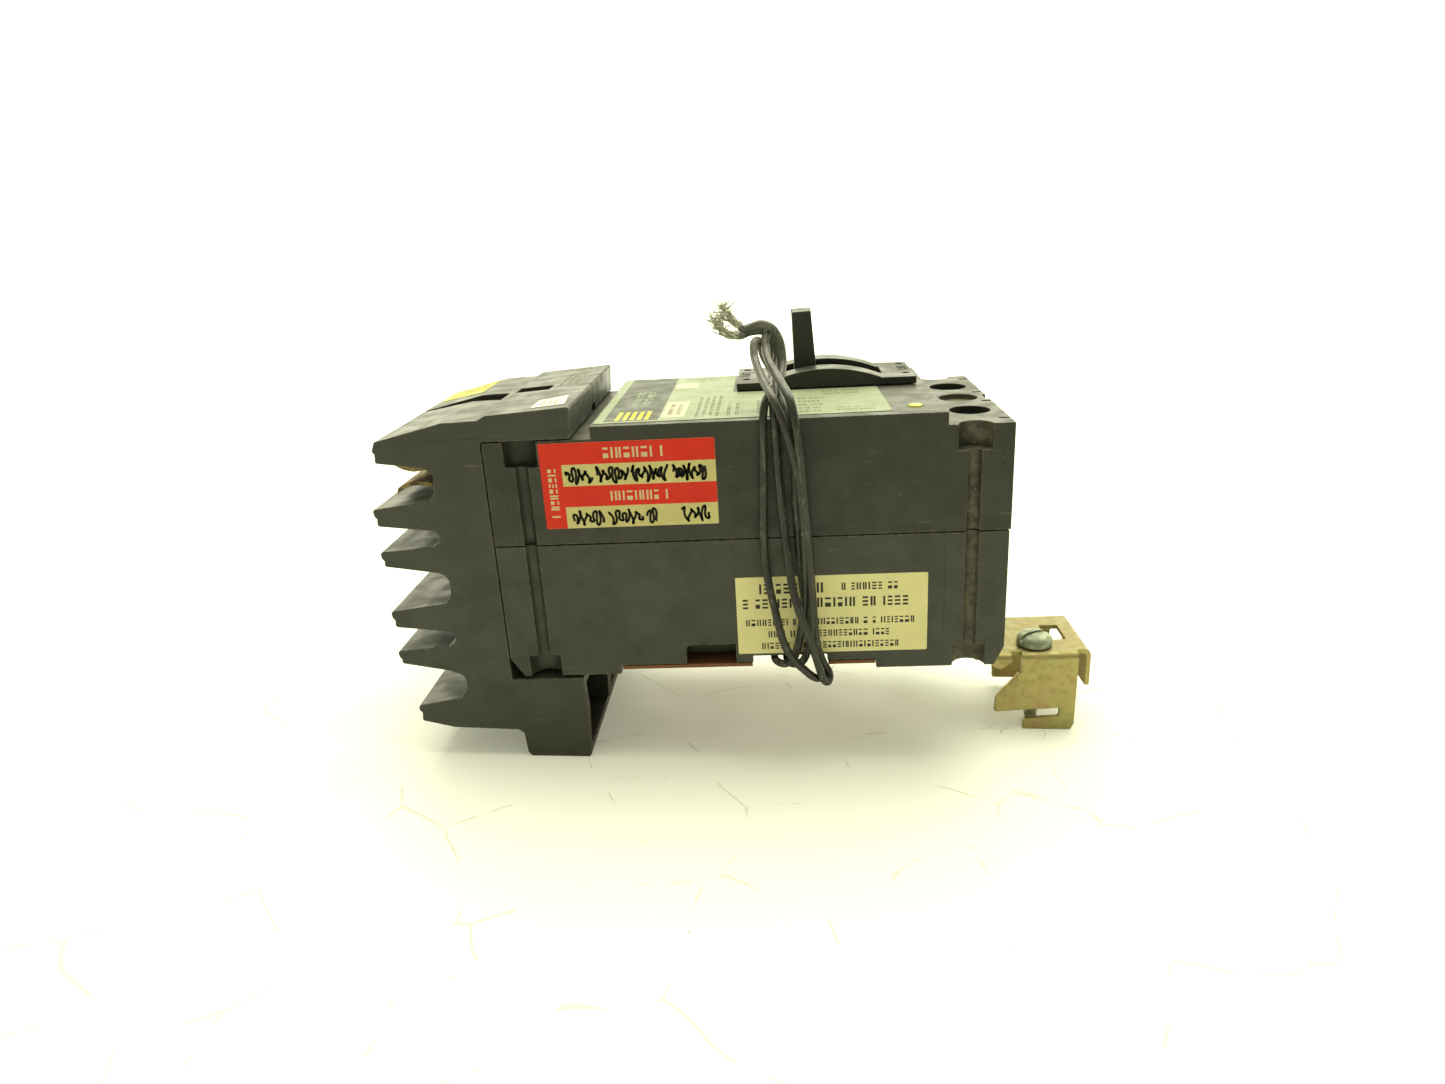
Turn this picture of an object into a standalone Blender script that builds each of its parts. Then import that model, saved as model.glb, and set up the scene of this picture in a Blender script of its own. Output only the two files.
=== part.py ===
"""Plug-on two-pole moulded-case breaker with a shunt trip, in named sub-parts.

Frame: X runs from the line end (jaws, -X) to the load end (+X), -Y is the side with the leads,
+Z is the front (handle). The origin is the centre of the insulating plate's underside.
Dimensions below are in millimetres and are scaled to metres by MM.
"""
import math

import bmesh
import bpy
from mathutils import Matrix, Vector

MM = 0.001

# Case
HALF_LENGTH = 76.2
HALF_WIDTH = 38.1
POLE_Y = 19.05
WALL = 3.0
BASE_BOTTOM = -1.4
FLOOR_TOP = 5.5
PARTING = 41.9
SHELF_TOP = 73.7
LEDGE_TOP = 73.8
DECK_TOP = 77.4
DECK_LEFT = -44.2
DECK_RIGHT = 57.6
CHANNEL_X = 65.2
POCKET_R = 4.9
GROOVE_R = 1.9
WELL_X = 66.9
WELL_R = 6.0

# Insulating plate on the underside
PLATE_TOP = 1.2
PLATE_LEFT = -41.0
PLATE_RIGHT = 37.0

# Plug-on jaw housing
PHASE_PITCH = 33.0
SEAM_X = -76.5
RIM = 2.5
FOOT_BOTTOM = -30.5

# Handle and escutcheon, over the far pole
HANDLE_X = 25.7
HANDLE_Z = 36.9
HANDLE_Y = 21.0
ARCH_R = 46.8
ESC_TOP = 80.1
ESC_LEFT = -3.3
ESC_RIGHT = 54.7
ESC_NEAR = 5.8
ESC_FAR = 35.7
SLOT_NEAR = 14.6
SLOT_FAR = 27.4

# Mechanism
BAR_X = 8.0
BAR_Z = 30.0
BAR_R = 5.5
LINK_PIN = (-2.0, 33.0)
KNEE_PIN = (7.468, 43.85)
CRADLE_PIN = (4.0, 57.0)
CRADLE_PIVOT = (-3.0, 60.0)
TRIP_X = 56.0
TRIP_Z = 56.0
COIL_Y = -25.5
COIL_Z = 50.0

# Load end bracket
BRACKET_TOP = -9.4
BRACKET_T = 1.6
BRACKET_HALF = 16.0
BRACKET_BOTTOM = -37.7
RAIL_SCREW = (93.1, -8.0)

LEAD_R = 1.2

for item in list(bpy.data.objects):
    bpy.data.objects.remove(item, do_unlink=True)

PARTS = bpy.data.collections.new("gfci_breaker")
CUTTERS = bpy.data.collections.new("cutters")
bpy.context.scene.collection.children.link(PARTS)
bpy.context.scene.collection.children.link(CUTTERS)


def material(name, color, metallic=0.0, roughness=0.55):
    mat = bpy.data.materials.new(name)
    mat.use_nodes = True
    shader = mat.node_tree.nodes["Principled BSDF"]
    shader.inputs["Base Color"].default_value = (*color, 1.0)
    shader.inputs["Metallic"].default_value = metallic
    shader.inputs["Roughness"].default_value = roughness
    return mat


PHENOLIC = (0.055, 0.058, 0.045)
COPPER = (0.62, 0.33, 0.18)
STEEL = (0.45, 0.45, 0.44)
ZINC = (0.55, 0.46, 0.20)


def finish(bm, name, collection):
    bmesh.ops.recalc_face_normals(bm, faces=bm.faces)
    mesh = bpy.data.meshes.new(name)
    bm.to_mesh(mesh)
    bm.free()
    obj = bpy.data.objects.new(name, mesh)
    collection.objects.link(obj)
    return obj


def paint(obj, color, metallic=0.0, roughness=0.55, smooth=False):
    obj.data.materials.append(material(obj.name, color, metallic, roughness))
    if smooth:
        for face in obj.data.polygons:
            face.use_smooth = True
    return obj


def add_box(bm, x, y, z):
    size = Vector((x[1] - x[0], y[1] - y[0], z[1] - z[0])) * MM
    centre = Vector((x[0] + x[1], y[0] + y[1], z[0] + z[1])) * (MM / 2)
    place = Matrix.Translation(centre) @ Matrix.Diagonal((*size, 1.0))
    bmesh.ops.create_cube(bm, size=1.0, matrix=place)


def add_rod(bm, start, end, radius, end_radius=None, sides=24):
    a = Vector(start) * MM
    b = Vector(end) * MM
    turn = (b - a).to_track_quat("Z", "Y").to_matrix().to_4x4()
    place = Matrix.Translation((a + b) / 2) @ turn
    top = radius if end_radius is None else end_radius
    bmesh.ops.create_cone(bm, cap_ends=True, segments=sides, radius1=radius * MM,
                          radius2=top * MM, depth=(b - a).length, matrix=place)


def box(name, x, y, z, collection=PARTS):
    bm = bmesh.new()
    add_box(bm, x, y, z)
    return finish(bm, name, collection)


def rod(name, start, end, radius, end_radius=None, sides=24, collection=PARTS):
    bm = bmesh.new()
    add_rod(bm, start, end, radius, end_radius, sides)
    return finish(bm, name, collection)


def mesh_from_curve(curve_obj, name, collection):
    """Evaluate a curve, weld its caps to its sides and keep it as a mesh in world space."""
    bpy.context.view_layer.update()
    graph = bpy.context.evaluated_depsgraph_get()
    mesh = bpy.data.meshes.new_from_object(curve_obj.evaluated_get(graph))
    bm = bmesh.new()
    bm.from_mesh(mesh)
    bmesh.ops.transform(bm, matrix=curve_obj.matrix_world, verts=bm.verts)
    bmesh.ops.remove_doubles(bm, verts=bm.verts, dist=0.000002)
    bpy.data.objects.remove(curve_obj, do_unlink=True)
    return finish(bm, name, collection)


def prism(name, outline, plane, low, high, collection=PARTS):
    """A flat outline extruded square to its plane, between low and high."""
    curve = bpy.data.curves.new(name + "_outline", "CURVE")
    curve.dimensions = "2D"
    curve.fill_mode = "BOTH"
    curve.extrude = (high - low) / 2 * MM
    loops = outline if isinstance(outline[0][0], (tuple, list)) else [outline]
    for loop in loops:
        spline = curve.splines.new("POLY")
        spline.points.add(len(loop) - 1)
        for point, (u, v) in zip(spline.points, loop):
            point.co = (u * MM, v * MM, 0.0, 1.0)
        spline.use_cyclic_u = True
    obj = bpy.data.objects.new(name + "_curve", curve)
    PARTS.objects.link(obj)
    middle = (high + low) / 2 * MM
    if plane == "XZ":
        obj.rotation_euler = (math.pi / 2, 0.0, 0.0)
        obj.location = (0.0, middle, 0.0)
    elif plane == "YZ":
        obj.rotation_euler = (math.pi / 2, 0.0, math.pi / 2)
        obj.location = (middle, 0.0, 0.0)
    else:
        obj.location = (0.0, 0.0, middle)
    return mesh_from_curve(obj, name, collection)


def arc(cx, cy, radius, start, end, steps):
    """Points of an arc, angles in degrees from +u towards +v."""
    points = []
    for i in range(steps + 1):
        turn = math.radians(start + (end - start) * i / steps)
        points.append((cx + radius * math.cos(turn), cy + radius * math.sin(turn)))
    return points


def boolean(obj, tool, operation):
    tool.hide_render = True
    tool.display_type = "WIRE"
    step = obj.modifiers.new(tool.name, "BOOLEAN")
    step.operation = operation
    step.solver = "EXACT"
    step.object = tool
    return obj


def cut(obj, tool):
    return boolean(obj, tool, "DIFFERENCE")


def join(obj, tool):
    return boolean(obj, tool, "UNION")


def cut_box(obj, x, y, z):
    tool = box(obj.name + "_cut", x, y, z, CUTTERS)
    return cut(obj, tool)


def cut_rod(obj, start, end, radius, sides=24):
    tool = rod(obj.name + "_bore", start, end, radius, None, sides, CUTTERS)
    return cut(obj, tool)


def join_box(obj, x, y, z):
    tool = box(obj.name + "_add", x, y, z, CUTTERS)
    return join(obj, tool)


def join_rod(obj, start, end, radius, sides=24):
    tool = rod(obj.name + "_boss", start, end, radius, None, sides, CUTTERS)
    return join(obj, tool)


def pivot_at(obj, point):
    """Move the origin to a point, such as one on a joint's axis, leaving the shape in place."""
    shift = Vector(point) * MM
    obj.data.transform(Matrix.Translation(-shift))
    obj.location = shift
    return obj


def smooth_path(points, per_span=5):
    """Catmull-Rom samples through the points."""
    result = []
    count = len(points)
    for i in range(count - 1):
        p = [Vector(points[max(0, min(count - 1, i + k))]) for k in (-1, 0, 1, 2)]
        for j in range(per_span):
            t = j / per_span
            a = 2 * p[1]
            b = (p[2] - p[0]) * t
            c = (2 * p[0] - 5 * p[1] + 4 * p[2] - p[3]) * t * t
            d = (3 * p[1] - p[0] - 3 * p[2] + p[3]) * t * t * t
            result.append((a + b + c + d) / 2)
    result.append(Vector(points[-1]))
    return result


def wire(name, points, radius, resolution=2):
    curve = bpy.data.curves.new(name + "_path", "CURVE")
    curve.dimensions = "3D"
    curve.bevel_depth = radius * MM
    curve.bevel_resolution = resolution
    curve.use_fill_caps = True
    spline = curve.splines.new("POLY")
    spline.points.add(len(points) - 1)
    for point, co in zip(spline.points, points):
        point.co = (co[0] * MM, co[1] * MM, co[2] * MM, 1.0)
    obj = bpy.data.objects.new(name + "_curve", curve)
    PARTS.objects.link(obj)
    return mesh_from_curve(obj, name, PARTS)


def helix(start, end, radius, turns, per_turn=12):
    """Points of a coil spring from start to end."""
    a = Vector(start)
    b = Vector(end)
    along = (b - a).normalized()
    side = along.cross(Vector((0.0, 1.0, 0.0)))
    if side.length < 0.01:
        side = along.cross(Vector((1.0, 0.0, 0.0)))
    side.normalize()
    other = along.cross(side)
    count = int(turns * per_turn)
    points = []
    for i in range(count + 1):
        turn = 2 * math.pi * i / per_turn
        spot = a.lerp(b, i / count)
        points.append(spot + radius * (math.cos(turn) * side + math.sin(turn) * other))
    return points


# Case -------------------------------------------------------------------------------------------

def channels(obj, low, high, pocket_low, pocket_high):
    """Half-round mounting screw grooves and their pockets at the four side positions."""
    for x in (-CHANNEL_X, CHANNEL_X):
        for y in (-HALF_WIDTH - 0.1, HALF_WIDTH + 0.1):
            cut_rod(obj, (x, y, low), (x, y, high), GROOVE_R, 12)
            cut_rod(obj, (x, y, pocket_low), (x, y, pocket_high), POCKET_R, 16)


def pole_cavities(obj, x, y, z):
    for low, high in ((-y[1], -y[0]), (y[0], y[1])):
        cut_box(obj, x, (low, high), z)


def make_base():
    top = PARTING - 0.15
    outline = [(-HALF_LENGTH, 4.8), (-HALF_LENGTH, top), (HALF_LENGTH, top), (HALF_LENGTH, 4.6),
               (73.0, BASE_BOTTOM), (-72.2, BASE_BOTTOM)]
    base = prism("base", outline, "XZ", -HALF_WIDTH, HALF_WIDTH)
    cut_box(base, (-41.6, 37.4), (-40.0, 40.0), (-3.0, 1.5))
    inner = HALF_WIDTH - WALL
    pole_cavities(base, (-58.0, 58.0), (1.5, inner), (FLOOR_TOP, 60.0))
    pole_cavities(base, (-HALF_LENGTH + WALL, -57.0), (1.7, 31.0), (FLOOR_TOP + 0.2, 61.0))
    pole_cavities(base, (57.0, HALF_LENGTH - WALL), (1.7, 31.0), (FLOOR_TOP + 0.2, 61.0))
    for x in (-56.0, 30.0):
        join_rod(base, (x, 0.0, 3.0), (x, 0.0, top), 4.0, 20)
        cut_rod(base, (x, 0.0, -3.0), (x, 0.0, 1.4 if x < 0 else 3.4), 3.6)
        cut_rod(base, (x, 0.0, -3.5), (x, 0.0, 50.0), 1.8, 16)
    channels(base, -3.0, 50.0, -3.2, 5.6)
    cut_box(base, (-0.3, 22.5), (-40.0, -29.0), (-2.8, 3.6))
    cut_rod(base, (9.0, -31.8, 2.0), (9.0, -31.8, 8.0), 3.0, 16)
    slot = [(-20.8, 1.3), (-5.5, 1.3), (-5.5, 7.8), (-19.3, 7.8), (-20.4, 7.4), (-20.8, 6.3)]
    cut(base, prism("base_side_slot", slot, "XZ", -41.0, -31.0, CUTTERS))
    for y in (-POLE_Y, POLE_Y):
        cut_box(base, (-80.0, -70.0), (y - 9.0, y + 9.0), (9.5, 17.5))
        cut_rod(base, (70.0, y, 20.0), (80.0, y, 20.0), 7.0)
    cut_rod(base, (BAR_X, -4.0, BAR_Z), (BAR_X, 4.0, BAR_Z), 6.5)
    cut_box(base, (BAR_X - 6.2, BAR_X + 6.2), (-3.5, 3.5), (BAR_Z, 55.0))
    for y in (-9.0, 9.0):
        cut_rod(base, (52.0, y, -3.0), (52.0, y, 4.5), 1.6, 16)
    return paint(base, PHENOLIC)


def make_cover():
    low = PARTING + 0.15
    outline = [(-HALF_LENGTH, low), (-HALF_LENGTH, LEDGE_TOP), (DECK_LEFT, LEDGE_TOP),
               (DECK_LEFT, DECK_TOP), (DECK_RIGHT, DECK_TOP), (DECK_RIGHT, SHELF_TOP),
               (HALF_LENGTH, SHELF_TOP), (HALF_LENGTH, low)]
    cover = prism("cover", outline, "XZ", -HALF_WIDTH, HALF_WIDTH)
    inner = HALF_WIDTH - WALL
    pole_cavities(cover, (-58.0, 56.0), (1.5, inner), (30.0, SHELF_TOP - WALL))
    pole_cavities(cover, (-HALF_LENGTH + WALL, -57.0), (1.7, 31.0), (29.0, SHELF_TOP - WALL - 0.2))
    pole_cavities(cover, (55.0, HALF_LENGTH - WALL), (1.7, 31.0), (29.0, SHELF_TOP - WALL - 0.2))
    pole_cavities(cover, (DECK_LEFT + WALL, DECK_RIGHT - WALL), (1.9, inner - 0.2),
                  (60.0, DECK_TOP - WALL))
    for x in (-56.0, 30.0):
        join_rod(cover, (x, 0.0, low), (x, 0.0, 72.0), 4.0, 20)
        cut_rod(cover, (x, 0.0, 30.0), (x, 0.0, 62.0), 1.8, 16)
    join_rod(cover, (WELL_X, 0.0, 56.0), (WELL_X, 0.0, 72.0), 7.4)
    cut_rod(cover, (WELL_X, 0.0, 60.0), (WELL_X, 0.0, 80.0), WELL_R)
    for y in (-POLE_Y, POLE_Y):
        cut_rod(cover, (WELL_X, y, 60.0), (WELL_X, y, 80.0), WELL_R)
    channels(cover, 30.0, 85.0, 66.1, 90.0)
    cut_box(cover, (1.0, 50.4), (13.4, 28.6), (70.0, 85.0))
    cut_box(cover, (50.0, 64.0), (14.0, 28.0), (58.0, 71.8))
    cut_rod(cover, (49.7, -27.5, 70.0), (49.7, -27.5, 85.0), 2.35, 20)
    cut_rod(cover, (TRIP_X, -4.0, TRIP_Z), (TRIP_X, 4.0, TRIP_Z), 2.6, 16)
    cut_box(cover, (TRIP_X - 2.3, TRIP_X + 2.3), (-3.5, 3.5), (30.0, TRIP_Z))
    return paint(cover, PHENOLIC)


def make_insulator():
    side = HALF_WIDTH - 0.3
    outline = [(PLATE_LEFT, -side), (-0.6, -side), (-0.6, -28.7), (22.8, -28.7), (22.8, -side),
               (PLATE_RIGHT, -side), (PLATE_RIGHT, side), (PLATE_LEFT, side)]
    plate = prism("insulator_plate", outline, "XY", 0.0, PLATE_TOP)
    return paint(plate, (0.24, 0.11, 0.05), 0.0, 0.7)


def make_case_screw(name, x, low):
    screw = rod(name, (x, 0.0, low), (x, 0.0, low + 1.8), 3.2)
    join_rod(screw, (x, 0.0, low + 1.5), (x, 0.0, 58.0), 1.5, 16)
    cut_box(screw, (x - 0.4, x + 0.4), (-4.0, 4.0), (low - 1.0, low + 0.8))
    return paint(screw, STEEL, 0.9, 0.4)


# Labels -----------------------------------------------------------------------------------------

def make_labels():
    deck = [(-43.6, -35.3), (42.4, -33.6), (41.8, 4.9), (-4.4, 4.9), (-4.4, 36.8), (-43.6, 36.8)]
    paint(prism("deck_label", deck, "XY", DECK_TOP + 0.1, DECK_TOP + 0.25), (0.50, 0.56, 0.42))
    front = (-HALF_WIDTH - 0.25, -HALF_WIDTH - 0.1)
    paint(box("catalog_label", (-59.7, -8.5), front, (47.1, 73.0)), (0.62, 0.06, 0.04))
    paint(box("rating_label", (-4.7, 52.6), front, (4.4, 29.6)), (0.72, 0.66, 0.40))
    sticker = [(-61.4, -33.8), (-51.9, -33.2), (-52.4, -20.0), (-61.0, -21.5)]
    paint(prism("hood_sticker", sticker, "XY", 0.0, 0.15), (0.75, 0.74, 0.66))
    rise = math.atan2(1.6, 24.6)
    bpy.data.objects["hood_sticker"].data.transform(
        Matrix.Translation(Vector((-74.1, 0.0, 81.9)) * MM)
        @ Matrix.Rotation(-rise, 4, "Y")
        @ Matrix.Translation(Vector((74.1, 0.0, 0.0)) * MM))
    slope = math.atan2(4.8, 20.6)
    label = box("hood_label", (1.5, 19.5), (10.5, 36.3), (0.1, 0.25))
    label.data.transform(Matrix.Translation(Vector((-107.8, 0.0, 75.4)) * MM)
                         @ Matrix.Rotation(-slope, 4, "Y"))
    paint(label, (0.78, 0.66, 0.12))


# Jaw housing ------------------------------------------------------------------------------------

def wide_gap(z):
    """Bus gap outline from its upper lip to its lower lip, z being the upper lip's height."""
    return [(-94.6, z - 1.8), (-92.7, z - 2.8), (-91.9, z - 4.3), (-91.9, z - 8.3),
            (-92.4, z - 9.8), (-94.2, z - 11.8), (-111.2, z - 13.9)]


def narrow_gap(z):
    return [(-110.9, z), (-93.8, z - 2.0), (-92.7, z - 3.6), (-92.9, z - 5.2), (-95.1, z - 7.1),
            (-110.9, z - 8.0)]


def housing_outline():
    points = [(-50.0, 74.1), (-49.5, 83.4), (-74.1, 81.8), (-76.5, 80.5), (-87.2, 80.2),
              (-107.8, 75.4), (-108.6, 68.9)]
    points += wide_gap(68.9)
    points += [(-111.5, 52.0)]
    points += narrow_gap(49.6)
    points += [(-111.0, 36.3)]
    points += wide_gap(68.9 - PHASE_PITCH)
    points += [(-111.5, 19.0)]
    points += narrow_gap(49.6 - PHASE_PITCH)
    points += [(-110.6, 3.6), (-96.0, 1.2), (-92.4, -0.3), (-91.4, -2.0), (-91.4, -4.3),
               (-92.2, -6.2), (-93.9, -8.5), (-107.9, -10.8), (-107.6, -16.3), (-97.4, -19.0),
               (-76.8, -20.4), (-75.1, -21.7), (-74.6, -29.3), (-73.4, FOOT_BOTTOM),
               (-54.6, FOOT_BOTTOM), (-53.9, -29.9), (-53.2, -13.1), (-53.8, -2.4),
               (SEAM_X, -2.4), (SEAM_X, 74.1)]
    return points


def make_housing(name, side):
    """One moulded half; side is -1 for the near half and +1 for the far half."""
    near, far = sorted((side * 0.15, side * HALF_WIDTH))
    half = prism(name, housing_outline(), "XZ", near, far)
    inner = sorted((side * 3.0, side * (HALF_WIDTH - RIM)))
    for low, high in ((51.0, 56.5), (18.0, 23.5), (-17.5, -9.5)):
        cut_box(half, (-115.0, -108.4), sorted((side * -1.0, side * (HALF_WIDTH - RIM))),
                (low, high))
    cut_box(half, (-70.5, -50.0), inner, (-27.8, -5.4))
    pole = side * POLE_Y
    mouth = 68.9 if side < 0 else 68.9 - PHASE_PITCH
    cut_box(half, (-88.2, -70.0), (pole - 12.1, pole + 12.1), (9.5, mouth - 1.2))
    cut_box(half, (-94.4, -86.0), (pole - 12.2, pole + 12.2), (mouth - 11.4, mouth - 1.4))
    wedge = [(-105.0, 0.0), (-88.0, -5.6), (-78.0, -5.0), (-78.0, 5.0), (-88.0, 5.6)]
    cut(half, prism(name + "_slot", wedge, "XY", 76.0, 90.0, CUTTERS))
    cut_box(half, (-73.4, -63.0), (-4.6, 4.6), (77.5, 90.0))
    cut_box(half, (-51.5, -45.0), (-1.6, 1.6) if side < 0 else (-5.0, 4.6), (72.0, 76.4))
    return paint(half, PHENOLIC)


def finger(name, side, top, flip):
    """One spring finger of a jaw: flat root on the strap, a pinch point and a flared lip."""
    path = [(-85.9, 2.6), (-90.0, 2.6), (-94.5, 2.3), (-99.5, 1.35), (-102.5, 1.9),
            (-106.0, 3.6)]
    thick = 1.5
    outer = [(x, z + thick) for x, z in reversed(path)]
    outline = [(x, top + flip * z) for x, z in path + outer]
    width = 11.6
    y = side * POLE_Y
    piece = prism(name, outline, "XZ", y - width, y + width)
    return paint(piece, COPPER, 0.9, 0.4)


def make_jaw(prefix, side, gap_top):
    middle = gap_top - 6.0
    finger(prefix + "_jaw_upper", side, middle, 1)
    finger(prefix + "_jaw_lower", side, middle, -1)
    y = side * POLE_Y
    outline = [(-85.6, 12.0), (-27.0, 12.0), (-27.0, 14.6), (-27.6, 16.9), (-36.6, 16.9),
               (-37.2, 14.6), (-83.0, 14.6), (-83.0, middle + 4.1), (-85.6, middle + 4.1)]
    strap = prism(prefix + "_line_strap", outline, "XZ", y - 7.0, y + 7.0)
    return paint(strap, COPPER, 0.9, 0.4)


# Contacts and crossbar --------------------------------------------------------------------------

def make_crossbar():
    bar = rod("crossbar", (BAR_X, -29.8, BAR_Z), (BAR_X, 29.8, BAR_Z), BAR_R, None, 28)
    for y in (-POLE_Y, POLE_Y):
        cut_box(bar, (BAR_X - 8.0, BAR_X + 8.0), (y - 4.8, y + 4.8), (20.0, 29.3))
    lobe = [(6.0, 31.0), (10.0, 34.0), (-1.0, 36.0), (-3.6, 35.4), (-4.6, 33.0), (-3.6, 31.0)]
    join(bar, prism("crossbar_lobe", lobe, "XZ", 24.2, 26.2, CUTTERS))
    join_rod(bar, (LINK_PIN[0], 21.0, LINK_PIN[1]), (LINK_PIN[0], 25.0, LINK_PIN[1]), 1.4, 16)
    pivot_at(bar, (BAR_X, 0.0, BAR_Z))
    return paint(bar, (0.10, 0.07, 0.05), 0.0, 0.5)


def make_arm(name, y):
    outline = [(14.0, 25.4), (14.0, 29.0), (-24.0, 29.0), (-35.0, 28.0), (-37.0, 26.6),
               (-37.0, 24.6), (-36.4, 22.2), (-29.6, 22.2), (-29.0, 24.6), (2.0, 25.4)]
    arm = prism(name, outline, "XZ", y - 4.5, y + 4.5)
    pivot_at(arm, (BAR_X, y, BAR_Z))
    return paint(arm, COPPER, 0.9, 0.4)


def make_chute(name, y):
    chute = box(name, (-57.5, -41.0), (y - 12.5, y + 12.5), (19.0, 66.0))
    for i in range(7):
        low = 20.2 + i * 6.5
        cut_box(chute, (-60.0, -38.0), (y - 11.3, y + 11.3), (low, low + 5.3))
    throat = [(-38.0, y - 5.6), (-38.0, y + 5.6), (-44.0, y + 4.0), (-49.0, y), (-44.0, y - 4.0)]
    cut(chute, prism(name + "_throat", throat, "XY", 10.0, 70.0, CUTTERS))
    return paint(chute, STEEL, 0.6, 0.5)


# Operating mechanism ----------------------------------------------------------------------------

def make_frame():
    outline = [(-12.0, 16.0), (37.0, 16.0), (37.0, 44.0), (30.0, 52.0), (2.0, 68.0),
               (-12.0, 68.0)]
    sides = prism("mechanism_frame", outline, "XZ", 12.2, 29.2)
    cut_box(sides, (-20.0, 50.0), (13.7, 27.7), (18.0, 80.0))
    cut_box(sides, (-20.0, -2.0), (13.7, 27.7), (10.0, 18.5))
    cut_rod(sides, (BAR_X, 10.0, BAR_Z), (BAR_X, 32.0, BAR_Z), 6.6)
    cut_box(sides, (BAR_X - 6.3, BAR_X + 6.3), (10.5, 31.5), (10.0, BAR_Z))
    cut_box(sides, (-14.0, BAR_X), (14.2, 24.0), (10.0, 34.0))
    for x, z, radius in ((HANDLE_X, HANDLE_Z, 2.3), (*CRADLE_PIVOT, 1.8)):
        cut_rod(sides, (x, 10.2, z), (x, 31.8, z), radius, 20)
    return paint(sides, STEEL, 0.8, 0.45)


def make_handle():
    """Stick and dust shield, drawn as it stands, turned left of the slot's centre."""
    stick = [(15.3, 100.7), (15.9, 101.2), (21.0, 101.4), (21.6, 100.9), (23.2, 79.9),
             (25.3, 76.0), (13.6, 76.0), (15.8, 79.9)]
    handle = prism("handle", stick, "XZ", HANDLE_Y - 6.0, HANDLE_Y + 6.0)
    shield = arc(HANDLE_X, HANDLE_Z, 44.6, 63.0, 133.0, 20)
    shield += arc(HANDLE_X, HANDLE_Z, 43.0, 133.0, 63.0, 20)
    join(handle, prism("handle_shield", shield, "XZ", SLOT_NEAR + 0.3, SLOT_FAR - 0.3, CUTTERS))
    join_box(handle, (16.4, 22.4), (HANDLE_Y - 5.0, HANDLE_Y + 5.0), (75.2, 80.5))
    pivot_at(handle, (HANDLE_X, HANDLE_Y, HANDLE_Z))
    return paint(handle, (0.045, 0.045, 0.038), 0.0, 0.45)


def make_handle_arm():
    lean = math.radians(8.0)
    cap = arc(HANDLE_X, HANDLE_Z, 36.0, 92.0, 104.0, 4)
    cap += arc(HANDLE_X, HANDLE_Z, 34.4, 104.0, 92.0, 4)
    arm = prism("handle_arm", cap, "XZ", 9.7, 31.7)
    for low, high in ((9.7, 11.3), (30.1, 31.7)):
        ring = arc(HANDLE_X, HANDLE_Z, 4.5, 180.0 + 5.0, 360.0 + 10.0, 12)
        top = [(HANDLE_X + 35.6 * math.sin(-lean + s), HANDLE_Z + 35.6 * math.cos(-lean + s))
               for s in (0.1, -0.1)]
        join(arm, prism("handle_leg", ring + top, "XZ", low, high, CUTTERS))
    cut_rod(arm, (HANDLE_X, 5.0, HANDLE_Z), (HANDLE_X, 35.0, HANDLE_Z), 2.05, 24)
    pivot_at(arm, (HANDLE_X, HANDLE_Y, HANDLE_Z))
    return paint(arm, STEEL, 0.8, 0.45)


def make_pivot_pins():
    pin = rod("handle_pivot_pin", (HANDLE_X, 8.6, HANDLE_Z), (HANDLE_X, 32.8, HANDLE_Z), 2.0)
    paint(pin, STEEL, 0.9, 0.3)
    x, z = CRADLE_PIVOT
    pin = rod("cradle_pivot_pin", (x, 11.4, z), (x, 30.0, z), 1.5, None, 20)
    paint(pin, STEEL, 0.9, 0.3)


def make_cradle():
    x, z = CRADLE_PIVOT
    outline = arc(x, z, 3.6, 90.0, 270.0, 10)
    outline += [(1.6, 54.6), (7.0, 54.8), (20.0, 58.4), (40.0, 55.2), (46.4, 52.6),
                (47.0, 55.4), (38.0, 60.2), (20.0, 63.4), (4.0, 63.4)]
    cradle = prism("cradle", outline, "XZ", 14.6, 17.0)
    cut_rod(cradle, (x, 10.0, z), (x, 20.0, z), 1.55, 20)
    px, pz = CRADLE_PIN
    join_rod(cradle, (px, 16.0, pz), (px, 19.6, pz), 1.4, 16)
    pivot_at(cradle, (x, 15.8, z))
    return paint(cradle, STEEL, 0.8, 0.45)


def link_outline(a, b, radius):
    """Strap with round ends from a to b."""
    angle = math.degrees(math.atan2(b[1] - a[1], b[0] - a[0]))
    points = arc(a[0], a[1], radius, angle + 90.0, angle + 270.0, 8)
    points += arc(b[0], b[1], radius, angle - 90.0, angle + 90.0, 8)
    return points


def make_links():
    lower = prism("lower_link", link_outline(LINK_PIN, KNEE_PIN, 2.7), "XZ", 20.9, 22.7)
    x, z = LINK_PIN
    cut_rod(lower, (x, 15.0, z), (x, 30.0, z), 1.45, 16)
    x, z = KNEE_PIN
    join_rod(lower, (x, 18.0, z), (x, 23.8, z), 1.4, 16)
    pivot_at(lower, (LINK_PIN[0], 21.8, LINK_PIN[1]))
    paint(lower, STEEL, 0.8, 0.45)
    upper = prism("upper_link", link_outline(KNEE_PIN, CRADLE_PIN, 2.9), "XZ", 18.2, 20.0)
    cut_rod(upper, (x, 15.0, z), (x, 30.0, z), 1.45, 16)
    x, z = CRADLE_PIN
    cut_rod(upper, (x, 15.0, z), (x, 30.0, z), 1.9, 20)
    cut_box(upper, (x - 6.0, x + 6.0), (14.0, 26.0), (z + 0.2, z + 9.0))
    pivot_at(upper, (KNEE_PIN[0], 19.1, KNEE_PIN[1]))
    paint(upper, STEEL, 0.8, 0.45)


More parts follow.
